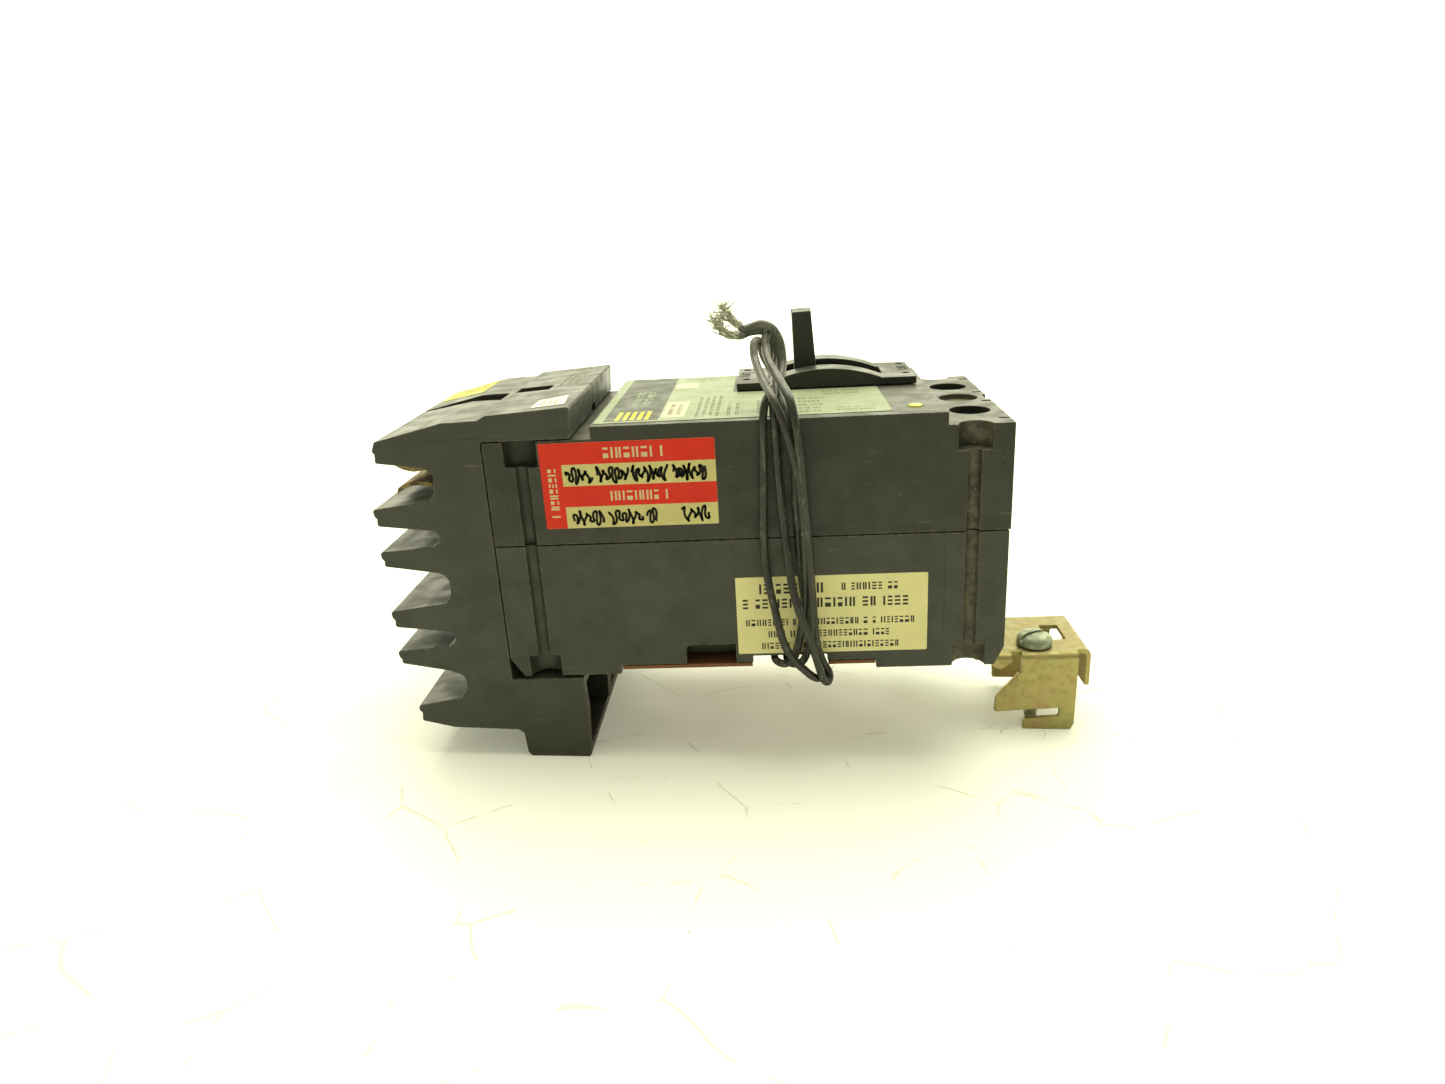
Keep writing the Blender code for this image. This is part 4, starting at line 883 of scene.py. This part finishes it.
def make_handle():
    stick = [(15.3, HANDLE_TOP - 0.1), (21.6, HANDLE_TOP + 0.1), (23.2, 79.9), (25.3, 76.0),
             (13.6, 76.0), (15.8, 79.9)]
    lever = prism("toggle_lever", fillet(stick, 0.5, 3, (2, 3, 4, 5)), "XZ",
                  HANDLE_Y - 6.0, HANDLE_Y + 6.0)
    shield = arc(HANDLE_X, HANDLE_Z, 44.6, 63.0, 133.0, 40)
    shield += arc(HANDLE_X, HANDLE_Z, 43.0, 133.0, 63.0, 40)
    add(lever, [prism("shield", shield, "XZ", SLOT_NEAR + 0.3, SLOT_FAR - 0.3),
                box("root", (16.4, 22.4), (HANDLE_Y - 5.0, HANDLE_Y + 5.0), (75.2, 80.5))])
    x = 18.5
    dish = lathe("dish", [(0.0, -0.5), (1.2, -0.42), (2.0, -0.2), (2.4, 0.1), (0.0, 0.1)],
                 (x, HANDLE_Y, HANDLE_TOP + 0.05), 32)
    dish.data.transform(shift(x, HANDLE_Y, 0.0) @ Matrix.Diagonal((0.8, 1.7, 1.0, 1.0))
                        @ shift(-x, -HANDLE_Y, 0.0))
    carve(lever, [dish])
    piece(soften(lever, 0.28, 3), "handle", HANDLE_PLASTIC, "handle")


def make_button():
    profile = [(0.0, 58.2), (2.0, 58.2), (2.05, 58.4), (2.05, 64.0), (3.6, 64.0), (3.6, 65.4),
               (2.05, 65.4), (2.05, 77.35), (1.98, 77.6), (1.75, 77.75), (1.0, 77.82), (0.0, 77.84)]
    stem = lathe("push_button", profile, (*BUTTON, 0.0))
    piece(shade(stem), "trip_button", BUTTON_YELLOW, "trip_button")


def make_spring(name, start, end, radius, turns, node):
    """Coil with closed ends, wound from the start to the end."""
    start, end = Vector(start), Vector(end)
    ahead = (end - start).normalized()
    side = ahead.cross(Vector((0.0, 1.0, 0.0))).normalized()
    other = ahead.cross(side)
    path = []
    steps = 20 * (turns + 2)
    for i in range(steps + 1):
        turn = 2 * math.pi * i / 20
        share = min(max((turn / (2 * math.pi) - 1.0) / turns, 0.0), 1.0)
        along = share * (end - start)
        path.append(start + along + radius * spoke(side, other, turn))
    spring = tubes(name, [(path, 0.28, 8)], STEEL, node)
    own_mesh(spring)


def make_springs():
    make_spring("button_return_spring", (*BUTTON, 63.65), (*BUTTON, 60.95), 3.0, 2,
                "button_spring")
    make_spring("plunger_return_spring", (-1.25, *COIL), (4.6, *COIL), 3.4, 4,
                "plunger_spring")


# ---- Labels

def sticker(name, outline, corner, plane, low, high, material, node, place=None):
    """Thin plate with rounded corners; the place matrix, when there is one, moves it."""
    plate = prism(name, fillet(outline, corner, 3), plane, low, high)
    if place is not None:
        plate.data.transform(place)
    return piece(shade(plate), "case", material, node)


def patches(name, plane, low, high, rects, material, place=None):
    """Many thin rectangles of ink, as one mesh; each is (u0, u1, v0, v1)."""
    bm = bmesh.new()
    for u0, u1, v0, v1 in rects:
        add_prism(bm, [(u0, v0), (u1, v0), (u1, v1), (u0, v1)], plane, low, high)
    obj = from_bmesh(bm, name)
    if place is not None:
        obj.data.transform(place)
    return piece(obj, "case", material)


def greek(u0, u1, v0, v1, rows, along="u", fill=0.6, seed=1):
    """Rows of single bars, paired bars and stacked bars that stand for unreadable print."""
    pick = random.Random(seed)
    rects = []
    start, stop, first, last = (u0, u1, v0, v1) if along == "u" else (v0, v1, u0, u1)
    pitch = (last - first) / rows
    tall = pitch * fill
    pen = tall * 0.2
    for r in range(rows):
        base = first + (r + 0.5) * pitch - tall / 2
        spot = start + pick.uniform(0.0, 0.02) * (stop - start)
        limit = stop - pick.uniform(0.0, 0.04) * (stop - start)
        while spot + tall * 0.6 < limit:
            wide = tall * pick.uniform(0.42, 0.6)
            kind = pick.randint(0, 3)
            if kind == 0:
                wide = pen
                marks = [(0.0, pen, 0.0, tall)]
            elif kind == 1:
                marks = [(0.0, pen, 0.0, tall), (wide - pen, wide, 0.0, tall)]
            elif kind == 2:
                marks = [(0.0, wide, k * tall * 0.4, k * tall * 0.4 + pen) for k in range(3)]
            else:
                marks = [(0.0, wide, 0.0, pen * 2.2), (0.0, wide, tall - pen, tall)]
            for a, b, c, d in marks:
                mark = (spot + a, spot + b, base + c, base + d)
                rects.append(mark if along == "u" else mark[2:] + mark[:2])
            spot += wide + tall * (0.24 if pick.random() > 0.17 else 0.75)
    return rects


def greek_lines(*lines):
    return [rect for line in lines for rect in greek(*line)]


def scribble(name, start, stop, level, height, y, width, seed, material):
    """Pen scrawl in long unbroken waves of random pitch, so that none of it is a letter."""
    pick = random.Random(seed)
    bm = bmesh.new()
    spot = start
    while spot + 2.0 < stop:
        run = min(stop - spot, pick.uniform(7.0, 11.0))
        steps = int(run * 9)
        pitch = pick.uniform(1.5, 2.1)
        sway = [pick.uniform(0.0, 6.0) for _ in range(4)]
        path = []
        for i in range(steps + 1):
            u = run * i / steps
            beat = 0.72 + 0.28 * math.sin(1.3 * u + sway[0])
            wave = math.sin(2 * math.pi * u / pitch + 0.9 * math.sin(0.9 * u + sway[1]))
            slant = 0.32 * math.sin(4 * math.pi * u / pitch + sway[2])
            path.append(Vector((spot + u + slant, 0.0, level + height * (0.5 + 0.5 * beat * wave))))
        for low, top in zip(path, path[1:]):
            ahead = (top - low).normalized()
            flank = Vector((-ahead.z, 0.0, ahead.x)) * width / 2
            reach = ahead * width * 0.25
            corners = (low - flank - reach, top - flank + reach, top + flank + reach,
                       low + flank - reach)
            add_prism(bm, [(c.x, c.z) for c in corners], "XZ", y - 0.02, y)
        spot += run + pick.uniform(1.2, 1.8)
    return piece(from_bmesh(bm, name), "case", material)


def make_catalog_label():
    left, right, low, high = -59.7, -8.5, 47.1, 73.0
    y = -HALF_WIDTH - 0.05
    outline = [(left, high), (right, high), (right, low), (left + 0.1, low)]
    sticker("catalog_sticker", outline, 0.4, "XZ", y - 0.08, y, CREAM, "catalog_label")
    red = [(left + 0.03, left + 6.3, low + 0.03, high - 0.03),
           (left + 6.3, right - 0.03, 66.5, high - 0.03), (left + 6.3, right - 0.03, 53.7, 60.0)]
    patches("catalog_red", "XZ", y - 0.10, y - 0.075, red, RED_INK)
    words = greek_lines((-41.0, -21.0, 67.9, 71.4, 1, "u", 0.9, 3),
                        (-40.0, -21.0, 55.1, 58.3, 1, "u", 0.9, 5),
                        (left + 1.9, left + 4.6, 50.5, 68.5, 1, "v", 0.9, 8))
    patches("catalog_print", "XZ", y - 0.12, y - 0.095, words, CREAM_PRINT)
    scribble("catalog_pen_1", -52.6, -10.4, 60.6, 5.0, y - 0.09, 0.75, 21, PEN)
    scribble("catalog_pen_2", -51.5, -26.5, 47.9, 4.6, y - 0.09, 0.7, 35, PEN)
    scribble("catalog_pen_3", -19.0, -11.0, 48.0, 4.8, y - 0.09, 0.7, 40, PEN)


def make_rating_label():
    y = -HALF_WIDTH + 0.12
    outline = [(-4.7, 4.4), (52.6, 4.4), (52.6, 29.6), (-4.7, 29.6)]
    sticker("rating_sticker", outline, 0.4, "XZ", y - 0.10, y, RATING, "rating_label")
    words = greek_lines((2.0, 23.0, 23.8, 27.6, 1, "u", 0.85, 2),
                        (27.0, 45.0, 24.3, 27.4, 1, "u", 0.75, 4),
                        (-3.6, 51.6, 19.0, 22.8, 1, "u", 0.8, 6))
    for k, (start, stop) in enumerate(((-2.5, 50.5), (4.5, 44.0), (2.5, 47.5))):
        low = 13.4 - 3.9 * k
        words += greek(start, stop, low, low + 2.6, 1, "u", 0.8, 12 + k)
    patches("rating_print", "XZ", y - 0.125, y - 0.095, words, BLACK_GREEK)


def make_deck_label():
    """Foil on the deck: black and cream fields, bars for print and in place of the mark."""
    z = DECK_TOP + 0.03
    outline = [(-43.6, -35.3), (42.4, -33.6), (41.8, 4.9), (-4.4, 4.9), (-4.4, 36.8),
               (-43.6, 36.8)]
    sticker("deck_foil", outline, 0.5, "XY", z, z + 0.12, FOIL, "deck_label")
    level = z + 0.115
    patches("deck_black", "XY", level, level + 0.02, [(-41.0, -25.0, -33.2, 36.4)], FOIL_BLACK)
    bars = [(u, u + 1.25, -32.2, -20.6) for u in (-37.8 + 10.8 * k / 5 for k in range(5))]
    patches("deck_bars", "XY", level + 0.015, level + 0.035, bars, FOIL_YELLOW)
    cream = [(-24.4, -17.6, -30.0, -7.5), (-24.4, -16.8, 15.8, 25.0)]
    patches("deck_cream", "XY", level, level + 0.02, cream, FOIL_CREAM)
    words = greek(-36.5, -29.5, -13.0, 12.0, 2, "v", 0.6, 7)
    patches("deck_pale_print", "XY", level + 0.015, level + 0.035, words, FOIL)
    words = greek_lines((-23.4, -18.6, -27.0, -10.0, 2, "v", 0.55, 9),
                        (-15.0, -7.0, -31.0, 0.0, 4, "v", 0.45, 14),
                        (-6.0, -1.0, -31.0, -12.0, 2, "v", 0.4, 15),
                        (3.0, 7.5, -31.5, -9.0, 2, "v", 0.4, 16),
                        (16.0, 24.0, -32.0, -8.0, 5, "u", 0.4, 17),
                        (27.0, 39.0, -31.0, -24.0, 2, "u", 0.4, 18),
                        (24.0, 36.0, -6.0, 2.0, 2, "u", 0.4, 19),
                        (-22.0, -8.0, 28.5, 34.5, 2, "u", 0.4, 20))
    patches("deck_print", "XY", level, level + 0.02, words, GREY_PRINT)


def make_hood_labels():
    rise = math.atan2(1.6, 24.6)
    place = shift(-74.1, 0.0, 81.83) @ Matrix.Rotation(-rise, 4, "Y") @ shift(74.1, 0.0, 0.0)
    outline = [(-61.6, -33.9), (-51.7, -32.8), (-53.2, -18.4), (-61.4, -22.4)]
    sticker("white_sticker", outline, 0.4, "XY", 0.0, 0.1, WHITE_STOCK, "hood_sticker", place)
    words = greek(-60.0, -54.0, -31.5, -23.5, 3, "v", 0.4, 31)
    patches("white_sticker_print", "XY", 0.09, 0.115, words, GREY_PRINT, place)
    words = greek_lines((-61.5, -54.5, 3.5, 26.0, 3, "v", 0.5, 44),
                        (-61.0, -55.0, 31.0, 36.0, 2, "u", 0.5, 45))
    patches("hood_print", "XY", -0.06, 0.03, words, PALE_PRINT, place)
    slope = math.atan2(4.8, 20.6)
    place = shift(-107.8, 0.0, 75.43) @ Matrix.Rotation(-slope, 4, "Y")
    outline = [(1.2, 19.4), (19.0, 12.4), (19.0, 37.2), (1.2, 37.2)]
    sticker("yellow_label", outline, 0.5, "XY", 0.0, 0.1, YELLOW_STOCK, "hood_label", place)
    words = greek(4.0, 17.6, 20.0, 35.6, 6, "v", 0.35, 33)
    patches("yellow_label_print", "XY", 0.09, 0.115, words, GREY_PRINT, place)


# ---- Bracket

def make_bracket():
    """Bent plate with a hook at each side and a lip at the near side, carved round at its long
    bends.
    """
    top = BRACKET_TOP
    low = top - BRACKET_T
    half = BRACKET_HALF
    end = 110.5
    profile = [(42.0, -1.8), (42.0, -3.4), (68.6, -3.4), (72.0, low), (end - 2.3, low),
               (end - BRACKET_T, low - 0.7), (end - BRACKET_T, -22.6), (end, -22.6)]
    profile += arc(end - BEND_R, top - BEND_R, BEND_R, 0.0, 90.0, 8) + [(73.2, top), (69.8, -1.8)]
    plate = prism("rail_bracket", profile, "XZ", -half, half)
    hook = [(87.4, top - 0.2), (87.4, -15.4), (79.3, -24.6), (79.0, -30.4), (100.5, -29.5),
            (100.5, -32.6), (89.3, -33.2), (88.8, -34.2), (88.7, -37.2),
            (104.6, BRACKET_BOTTOM), (105.6, -35.6), (105.8, top - 0.2)]
    lip = [(84.6, -12.0), (82.0, -13.8), (80.6, -14.7), (79.2, -14.3), (77.4, -12.9),
           (77.4, top - 0.2), (84.6, top - 0.2)]
    far_hook = [(104.6, top - 0.2), (87.0, top - 0.2), (87.0, -17.6), (84.7, -28.0),
                (84.9, -33.3), (99.0, -33.9), (99.0, -35.2), (95.6, -35.6), (95.6, -37.4),
                (103.5, BRACKET_BOTTOM), (104.6, -36.6)]
    add(plate, [prism("near_hook", fillet(hook, 0.7, 3), "XZ", -half, -half + BRACKET_T),
                prism("near_lip", fillet(lip, 0.8, 3, (5, 6)), "XZ", -half, -half + BRACKET_T),
                prism("far_hook", fillet(far_hook, 0.5, 3), "XZ", half - BRACKET_T, half)])
    x, y = RAIL_SCREW
    tools = [box("notch", (84.2, 87.4), (-18.0, -13.2), (-16.0, -5.0)),
             box("corner", (105.8, 112.0), (-20.0, -13.2), (-40.0, 0.0)),
             box("corner", (104.0, 112.0), (14.6, 20.0), (-40.0, 0.0)),
             box("window", (98.3, 104.5), (-4.8, 6.6), (-14.0, -5.0)),
             pin("hole", x, y, -14.0, -5.0, 2.6)]
    tools += [pin("hole", u, v, -5.0, -1.0, 1.7) for u, v in BRACKET_FIXINGS]
    carve(plate, tools)
    for side in (-1, 1):
        edge = side * half
        bend = [(edge + side, top + 1.0), (edge - side * BEND_R, top + 1.0)]
        bend += [(edge - side * (BEND_R - v), z)
                 for v, z in arc(0.0, top - BEND_R, BEND_R, 90.0, 0.0, 8)]
        bend += [(edge + side, top - BEND_R)]
        carve(plate, [prism("bend", bend, "YZ", 76.0, 115.0)])
    piece(soften(plate, 0.22, 2, 40.0), "case", GOLD_ZINC, "mounting_bracket")


def make_rail_screw():
    """Slotted pan head over a helical thread that fades out at its point."""
    x, y = RAIL_SCREW
    profile = [(0.0, -9.2), (5.4, -9.2), (5.7, -9.0), (5.8, -8.7), (5.8, -7.7), (5.6, -6.9),
               (5.0, -6.1), (4.1, -5.5), (2.8, -5.15), (1.4, -5.0), (0.0, -4.95)]
    head = lathe("rail_screw", profile, (x, y, 0.0), 64)
    slot = box("slot", (-8.0, 8.0), (-0.65, 0.65), (-7.3, -4.0))
    slot.data.transform(shift(x, y, 0.0) @ Matrix.Rotation(math.radians(25.0), 4, "Z"))
    carve(head, [slot])
    soften(head, 0.12, 2, 45.0)
    piece(head, "bracket_screw", SCREW_ZINC, "bracket_screw")
    bm = bmesh.new()
    sides, pitch, top, bottom = 24, 1.1, -9.2, -36.6
    core, depth, point = 1.95, 0.4, 1.2
    rows = int((top - bottom) / (pitch / 8))
    rings = []
    for i in range(rows + 1):
        z = bottom + (top - bottom) * i / rows
        fade = min(1.0, (z - bottom) / point)
        ring = []
        for k in range(sides):
            share = (z / pitch - k / sides) % 1.0
            r = core + depth * (1.0 - abs(2.0 * share - 1.0)) * fade
            turn = 2 * math.pi * k / sides
            spot = Vector((x + r * math.cos(turn), y + r * math.sin(turn), z))
            ring.append(bm.verts.new(spot * MM))
        rings.append(ring)
    add_skin(bm, rings)
    piece(shade(from_bmesh(bm, "rail_screw_thread"), 30.0), "bracket_screw", SCREW_ZINC)


# ---- Leads

LEAD_A = [(9.0, -31.0, 30.0), (8.4, -31.8, 12.0), (8.0, -31.8, 5.0), (6.4, -33.6, 2.8),
          (6.6, -37.4, 1.8), (9.3, -39.6, 1.5), (12.2, -40.0, 3.6), (13.6, -40.1, 8.0),
          (14.8, -40.3, 14.0), (15.7, -40.8, 22.0), (16.2, -41.6, 32.0), (16.3, -42.6, 42.0),
          (15.9, -43.8, 52.0), (14.8, -44.8, 62.0), (13.0, -45.0, 71.0), (11.2, -44.9, 77.5),
          (9.6, -44.3, 82.0), (8.2, -42.5, 84.8), (5.6, -34.2, 88.5), (3.9, -27.2, 92.1),
          (3.4, -24.6, 94.8), (3.6, -22.8, 96.8), (4.6, -21.4, 97.3), (5.4, -20.0, 95.9),
          (6.2, -19.4, 92.4), (8.4, -22.6, 88.4), (10.2, -31.0, 84.4), (11.6, -38.8, 80.6),
          (13.6, -41.4, 73.5), (15.4, -41.3, 64.0), (16.6, -40.4, 52.0), (17.6, -39.6, 38.0),
          (18.2, -39.5, 24.0), (19.0, -39.5, 10.0), (20.3, -39.6, 0.0), (20.2, -40.8, -2.7),
          (18.2, -43.2, -1.6), (15.2, -44.5, 1.7), (12.0, -45.0, 5.6), (9.5, -45.0, 10.4),
          (8.1, -44.5, 15.8), (7.0, -43.5, 21.2), (5.6, -42.0, 28.0), (4.6, -40.6, 36.0),
          (4.5, -40.1, 46.0), (4.9, -40.0, 58.0), (5.3, -40.0, 70.0), (5.6, -40.0, 78.0),
          (6.6, -38.6, 83.0), (8.6, -32.6, 85.0), (10.6, -27.6, 86.6), (11.7, -22.6, 90.0),
          (11.7, -20.6, 93.4), (11.1, -20.0, 96.8), (9.8, -20.0, 99.5), (8.1, -20.0, 101.1),
          (5.9, -20.0, 101.8), (3.5, -20.0, 101.4), (1.0, -20.0, 100.6), (-0.6, -20.0, 101.1)]
LEAD_B = [(12.0, -31.6, 30.0), (11.4, -31.8, 12.0), (11.0, -31.8, 5.0), (10.0, -33.6, 1.2),
          (11.6, -37.4, 0.4), (14.8, -40.0, 2.4), (16.6, -40.6, 7.0), (17.5, -41.0, 13.0),
          (17.6, -41.4, 23.0), (17.6, -42.3, 35.0), (17.1, -43.2, 45.5), (16.4, -44.6, 55.7),
          (15.8, -45.4, 65.6), (15.0, -45.5, 73.4), (14.4, -45.3, 78.0), (13.2, -43.0, 84.0),
          (10.0, -34.0, 88.5), (7.7, -27.0, 92.0), (6.9, -23.4, 94.6), (6.7, -21.2, 97.0),
          (7.4, -19.2, 98.9), (8.6, -17.4, 97.6), (9.2, -17.2, 94.0), (9.4, -18.8, 90.6),
          (10.2, -24.0, 87.4), (12.4, -33.0, 83.8), (14.2, -39.5, 79.0), (14.4, -40.6, 72.0),
          (14.2, -40.4, 60.0), (14.4, -39.6, 46.0), (15.0, -39.5, 32.0), (16.8, -39.5, 16.0),
          (20.6, -39.7, 3.0), (22.8, -40.4, -1.6), (22.3, -42.2, -3.6), (20.8, -43.8, -1.8),
          (19.2, -45.0, 4.2), (17.5, -45.5, 10.4), (15.7, -45.5, 16.0), (14.0, -45.0, 21.6),
          (12.6, -44.0, 27.2), (11.5, -42.6, 35.0), (10.6, -41.4, 44.0), (9.8, -40.6, 54.0),
          (9.2, -40.1, 64.0), (9.0, -40.0, 74.0), (8.6, -39.4, 80.4), (8.8, -34.6, 84.4),
          (9.4, -25.0, 87.4), (10.0, -19.4, 91.6), (9.7, -17.4, 94.9), (8.6, -17.4, 97.5),
          (7.0, -18.0, 99.2), (4.8, -18.4, 99.7), (2.4, -19.0, 99.5), (0.0, -20.4, 98.9),
          (-1.6, -21.0, 98.9)]
END_A = [(0.0, -19.7, 101.4), (-1.6, -19.6, 102.4), (-3.2, -19.4, 104.0), (-4.6, -19.2, 105.6),
         (-4.9, -19.0, 106.6)]
END_B = [(-1.0, -20.8, 99.0), (-1.9, -21.0, 99.0), (-3.8, -21.0, 99.3), (-5.6, -21.0, 100.5),
         (-6.5, -21.0, 102.4), (-7.2, -21.0, 104.6)]


def make_lead(name, points, node, seed):
    """Insulated wire whose end is ragged where the insulation was torn off."""
    pick = random.Random(seed)
    waves = [pick.uniform(0.0, 6.0) for _ in range(6)]

    def radius(share, turn):
        r = LEAD_R + 0.02 * math.sin(60 * share + waves[0])
        torn = max(0.0, (share - 0.955) / 0.045)
        ragged = math.sin(3 * turn + waves[1] + 90 * share) + math.sin(5 * turn + 260 * share)
        return r * (1.0 - 0.12 * torn) + 0.11 * torn * ragged

    tubes(name, [(smooth_path(points, 7), radius, 18)], INSULATION, node)


def make_strands(name, points, seed, strays):
    """Bare stranded end: thin wires laid round the path that splay and hook at the tip."""
    pick = random.Random(seed)
    path = smooth_path(points, 6)
    last = len(path) - 1
    wires = []
    count = 19
    for k in range(count):
        phase = 2 * math.pi * k / (count - 1)
        ring = 0.0 if k == 0 else (0.55 if k % 3 == 0 else 1.05)
        lean = any_way(pick) * pick.uniform(4.0, 12.0)
        hook = any_way(pick) * 0.5
        line = []
        for i in range(last + 1 - pick.randint(0, 5)):
            share = i / last
            ahead = (path[min(i + 1, last)] - path[max(i - 1, 0)]).normalized()
            side = ahead.cross(Vector((0.0, 1.0, 0.0))).normalized()
            other = ahead.cross(side)
            turn = phase + 4.2 * share
            loose = max(0.0, share - 0.45)
            spot = path[i] + ring * spoke(side, other, turn)
            line.append(spot + lean * loose ** 1.5 + hook * math.sin(14.0 * loose))
        wires.append((line, 0.18, 6))
    for k in range(strays):
        start = path[last - pick.randint(0, 8)]
        aim = Vector((pick.uniform(-1.0, 0.8), pick.uniform(-0.6, 0.6), pick.uniform(-0.2, 1.0)))
        curl = any_way(pick) * 0.6
        reach = pick.uniform(1.8, 4.2)
        line = [start + aim.normalized() * reach * t + curl * math.sin(4.0 * t) * t
                for t in (0.0, 0.15, 0.3, 0.45, 0.6, 0.8, 1.0)]
        wires.append((line, 0.12, 5))
    tubes(name, wires, STRANDS)


def make_fray(name, points, seed):
    """Pale threads of the torn insulation, round the place where the bare strands come out."""
    pick = random.Random(seed)
    threads = []
    for _ in range(16):
        centre = Vector(points[0]) + (Vector(points[1]) - Vector(points[0])) * pick.random()
        out = Vector((pick.uniform(-1.0, 0.6), pick.uniform(-0.8, 0.4), pick.uniform(-1.0, 1.0)))
        out.normalize()
        bend = any_way(pick) * 0.5
        reach = pick.uniform(0.5, 1.3)
        line = [centre + out * (0.9 + reach * t) + bend * t * t for t in (0.0, 0.3, 0.6, 1.0)]
        threads.append((line, 0.09, 5))
    tubes(name, threads, WHITE_STOCK)


def make_leads():
    make_lead("lead_wire_a", LEAD_A, "lead_a", 3)
    make_lead("lead_wire_b", LEAD_B, "lead_b", 5)
    make_strands("lead_end_a", END_A, 8, 26)
    make_strands("lead_end_b", END_B, 9, 30)
    make_fray("lead_fray_a", END_A, 12)
    make_fray("lead_fray_b", END_B, 13)
    fly = [(-6.8, -21.0, 104.2), (-8.0, -21.2, 105.2), (-9.6, -21.6, 105.6), (-11.6, -22.0, 106.6)]
    tubes("lead_stray", [(smooth_path(fly, 5), 0.08, 5)], STRANDS, angle=38.0)


# ---- Pieces carried over from the CAD

def dress_frame():
    """Materials for the CAD nodes that stay, by the words in their names; steel for the rest."""
    groups = ((COPPER, ("strap", "contact_arm", "bimetal", "braid")),
              (DARK_STEEL, ("cradle", "link", "arc_chute", "magnet_yoke")),
              (MOULDED, ("crossbar", "trip_bar", "button_guide")),
              (WINDING, ("shunt_coil",)),
              (ALUMINIUM, ("load_lug",)))
    for name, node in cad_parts.items():
        finish = STEEL
        for material, words in groups:
            if any(word in name for word in words):
                finish = material
        node.data.materials.clear()
        node.data.materials.append(finish)


# ---- Surroundings

def make_floor():
    """White table under the foot and the bracket, tilted as the part really stands; it glows with
    painted light, weakest round the part.
    """
    f = Finish("table_white", (0.86, 0.87, 0.79), 0.55)
    f.tint(f.noise(60.0, 0.5, 0.75, 4.0), (0.80, 0.80, 0.70), 0.5)
    f.tint(f.scratches(46.0, 0.005), (0.30, 0.27, 0.17), 0.5)
    f.tint(f.specks(22.0, 0.022, 0.6), (0.25, 0.23, 0.17), 0.8)
    f.vary(f.noise(30.0, 0.4, 0.6), 0.15)
    f.bump(f.noise(20.0, 0.3, 0.7), 0.1, 0.3)
    # Painted light: the table glows to the camera, a little round the part to lift its shadow and
    # more further out, and glows brighter behind the part in reflections.
    rays = f.node("ShaderNodeLightPath").outputs
    painted_glow = f.ramp(f.around((0.0, 0.0), 700.0, 120.0), 0.0, 1.0, 0.21, 0.9)
    behind = f.times(f.inward(-40.0, -300.0), rays["Is Glossy Ray"])
    painted_glow = f.plus(f.times(painted_glow, rays["Is Camera Ray"]), f.times(behind, 1.6))
    left, right = Vector((-64.0, 0.0, -30.5)), Vector((103.5, 0.0, BRACKET_BOTTOM))
    run = right - left
    tilt = math.atan2(-run.z, run.x)
    bm = bmesh.new()
    bmesh.ops.create_grid(bm, x_segments=8, y_segments=8, size=2.2)
    obj = from_bmesh(bm, "table")
    place = Matrix.Translation(left * MM) @ Matrix.Rotation(tilt, 4, "Y")
    obj.data.transform(place)
    # Painted glow of the table, yellowish.
    f.wire(painted_glow, f.shader.inputs["Emission Strength"])
    obj.data.materials.append(f.done(Emission_Color=(1.0, 1.01, 0.76, 1.0)))


def make_light():
    """Pale studio, brighter behind the part and most of all in its reflections."""
    world = bpy.data.worlds.new("studio")
    bpy.context.scene.world = world
    world.use_nodes = True
    tree = world.node_tree
    nodes = tree.nodes
    back = nodes["Background"]
    coord = nodes.new("ShaderNodeTexCoord")
    split = nodes.new("ShaderNodeSeparateXYZ")
    tree.links.new(coord.outputs["Generated"], split.inputs[0])
    path = nodes.new("ShaderNodeLightPath")

    def choose(ray, no, yes):
        mix = nodes.new("ShaderNodeMix")
        mix.data_type = "FLOAT"
        for index, value in ((0, path.outputs[ray]), (2, no), (3, yes)):
            wire(tree, value, mix.inputs[index])
        return mix.outputs[0]

    toward = split.outputs["Y"]
    soft = map_range(tree, toward, -1.0, 0.7, 0.14, 1.2)
    mirrored = map_range(tree, toward, -0.1, 0.7, 0.3, 2.6)
    light = choose("Is Glossy Ray", soft, mirrored)
    tree.links.new(choose("Is Camera Ray", light, 1.6), back.inputs["Strength"])
    back.inputs["Color"].default_value = (1.0, 1.0, 0.74, 1.0)
    lamp = bpy.data.lights.new("overhead", "AREA")
    lamp.shape = "RECTANGLE"
    lamp.size, lamp.size_y = 1.4, 1.0
    lamp.energy = 17.0
    lamp.color = (1.0, 1.0, 0.78)
    obj = new_object("overhead", lamp)
    obj.location = (0.05, 0.25, 1.1)
    obj.rotation_euler = (-Vector(obj.location)).to_track_quat("-Z", "Y").to_euler()


def make_camera():
    """Camera fitted to the photo: its place in millimetres, and its turns from a level view."""
    data = bpy.data.cameras.new("camera")
    data.sensor_width = 36.0
    data.lens = 23.89
    data.clip_start = 0.01
    cam = new_object("camera", data)
    yaw, pitch, roll = math.radians(-3.81), math.radians(19.33), math.radians(-3.20)
    ahead = Vector((math.sin(yaw) * math.cos(pitch), math.cos(yaw) * math.cos(pitch),
                    -math.sin(pitch)))
    level = Vector((math.cos(yaw), -math.sin(yaw), 0.0))
    up = level.cross(ahead)
    right = level * math.cos(roll) + up * math.sin(roll)
    up = up * math.cos(roll) - level * math.sin(roll)
    turn = Matrix((right, up, -ahead)).transposed().to_4x4()
    cam.matrix_world = shift(9.97, -305.14, 135.07) @ turn
    bpy.context.scene.camera = cam
    bpy.context.scene.view_settings.view_transform = "Standard"


dress_frame()
make_base()
make_cover()
make_insulator()
make_housing("near_jaw_moulding", -1)
make_housing("far_jaw_moulding", 1)
make_jaws()
make_escutcheon()
make_handle()
make_button()
make_springs()
make_catalog_label()
make_rating_label()
make_deck_label()
make_hood_labels()
make_bracket()
make_rail_screw()
make_leads()
make_floor()
make_light()
make_camera()
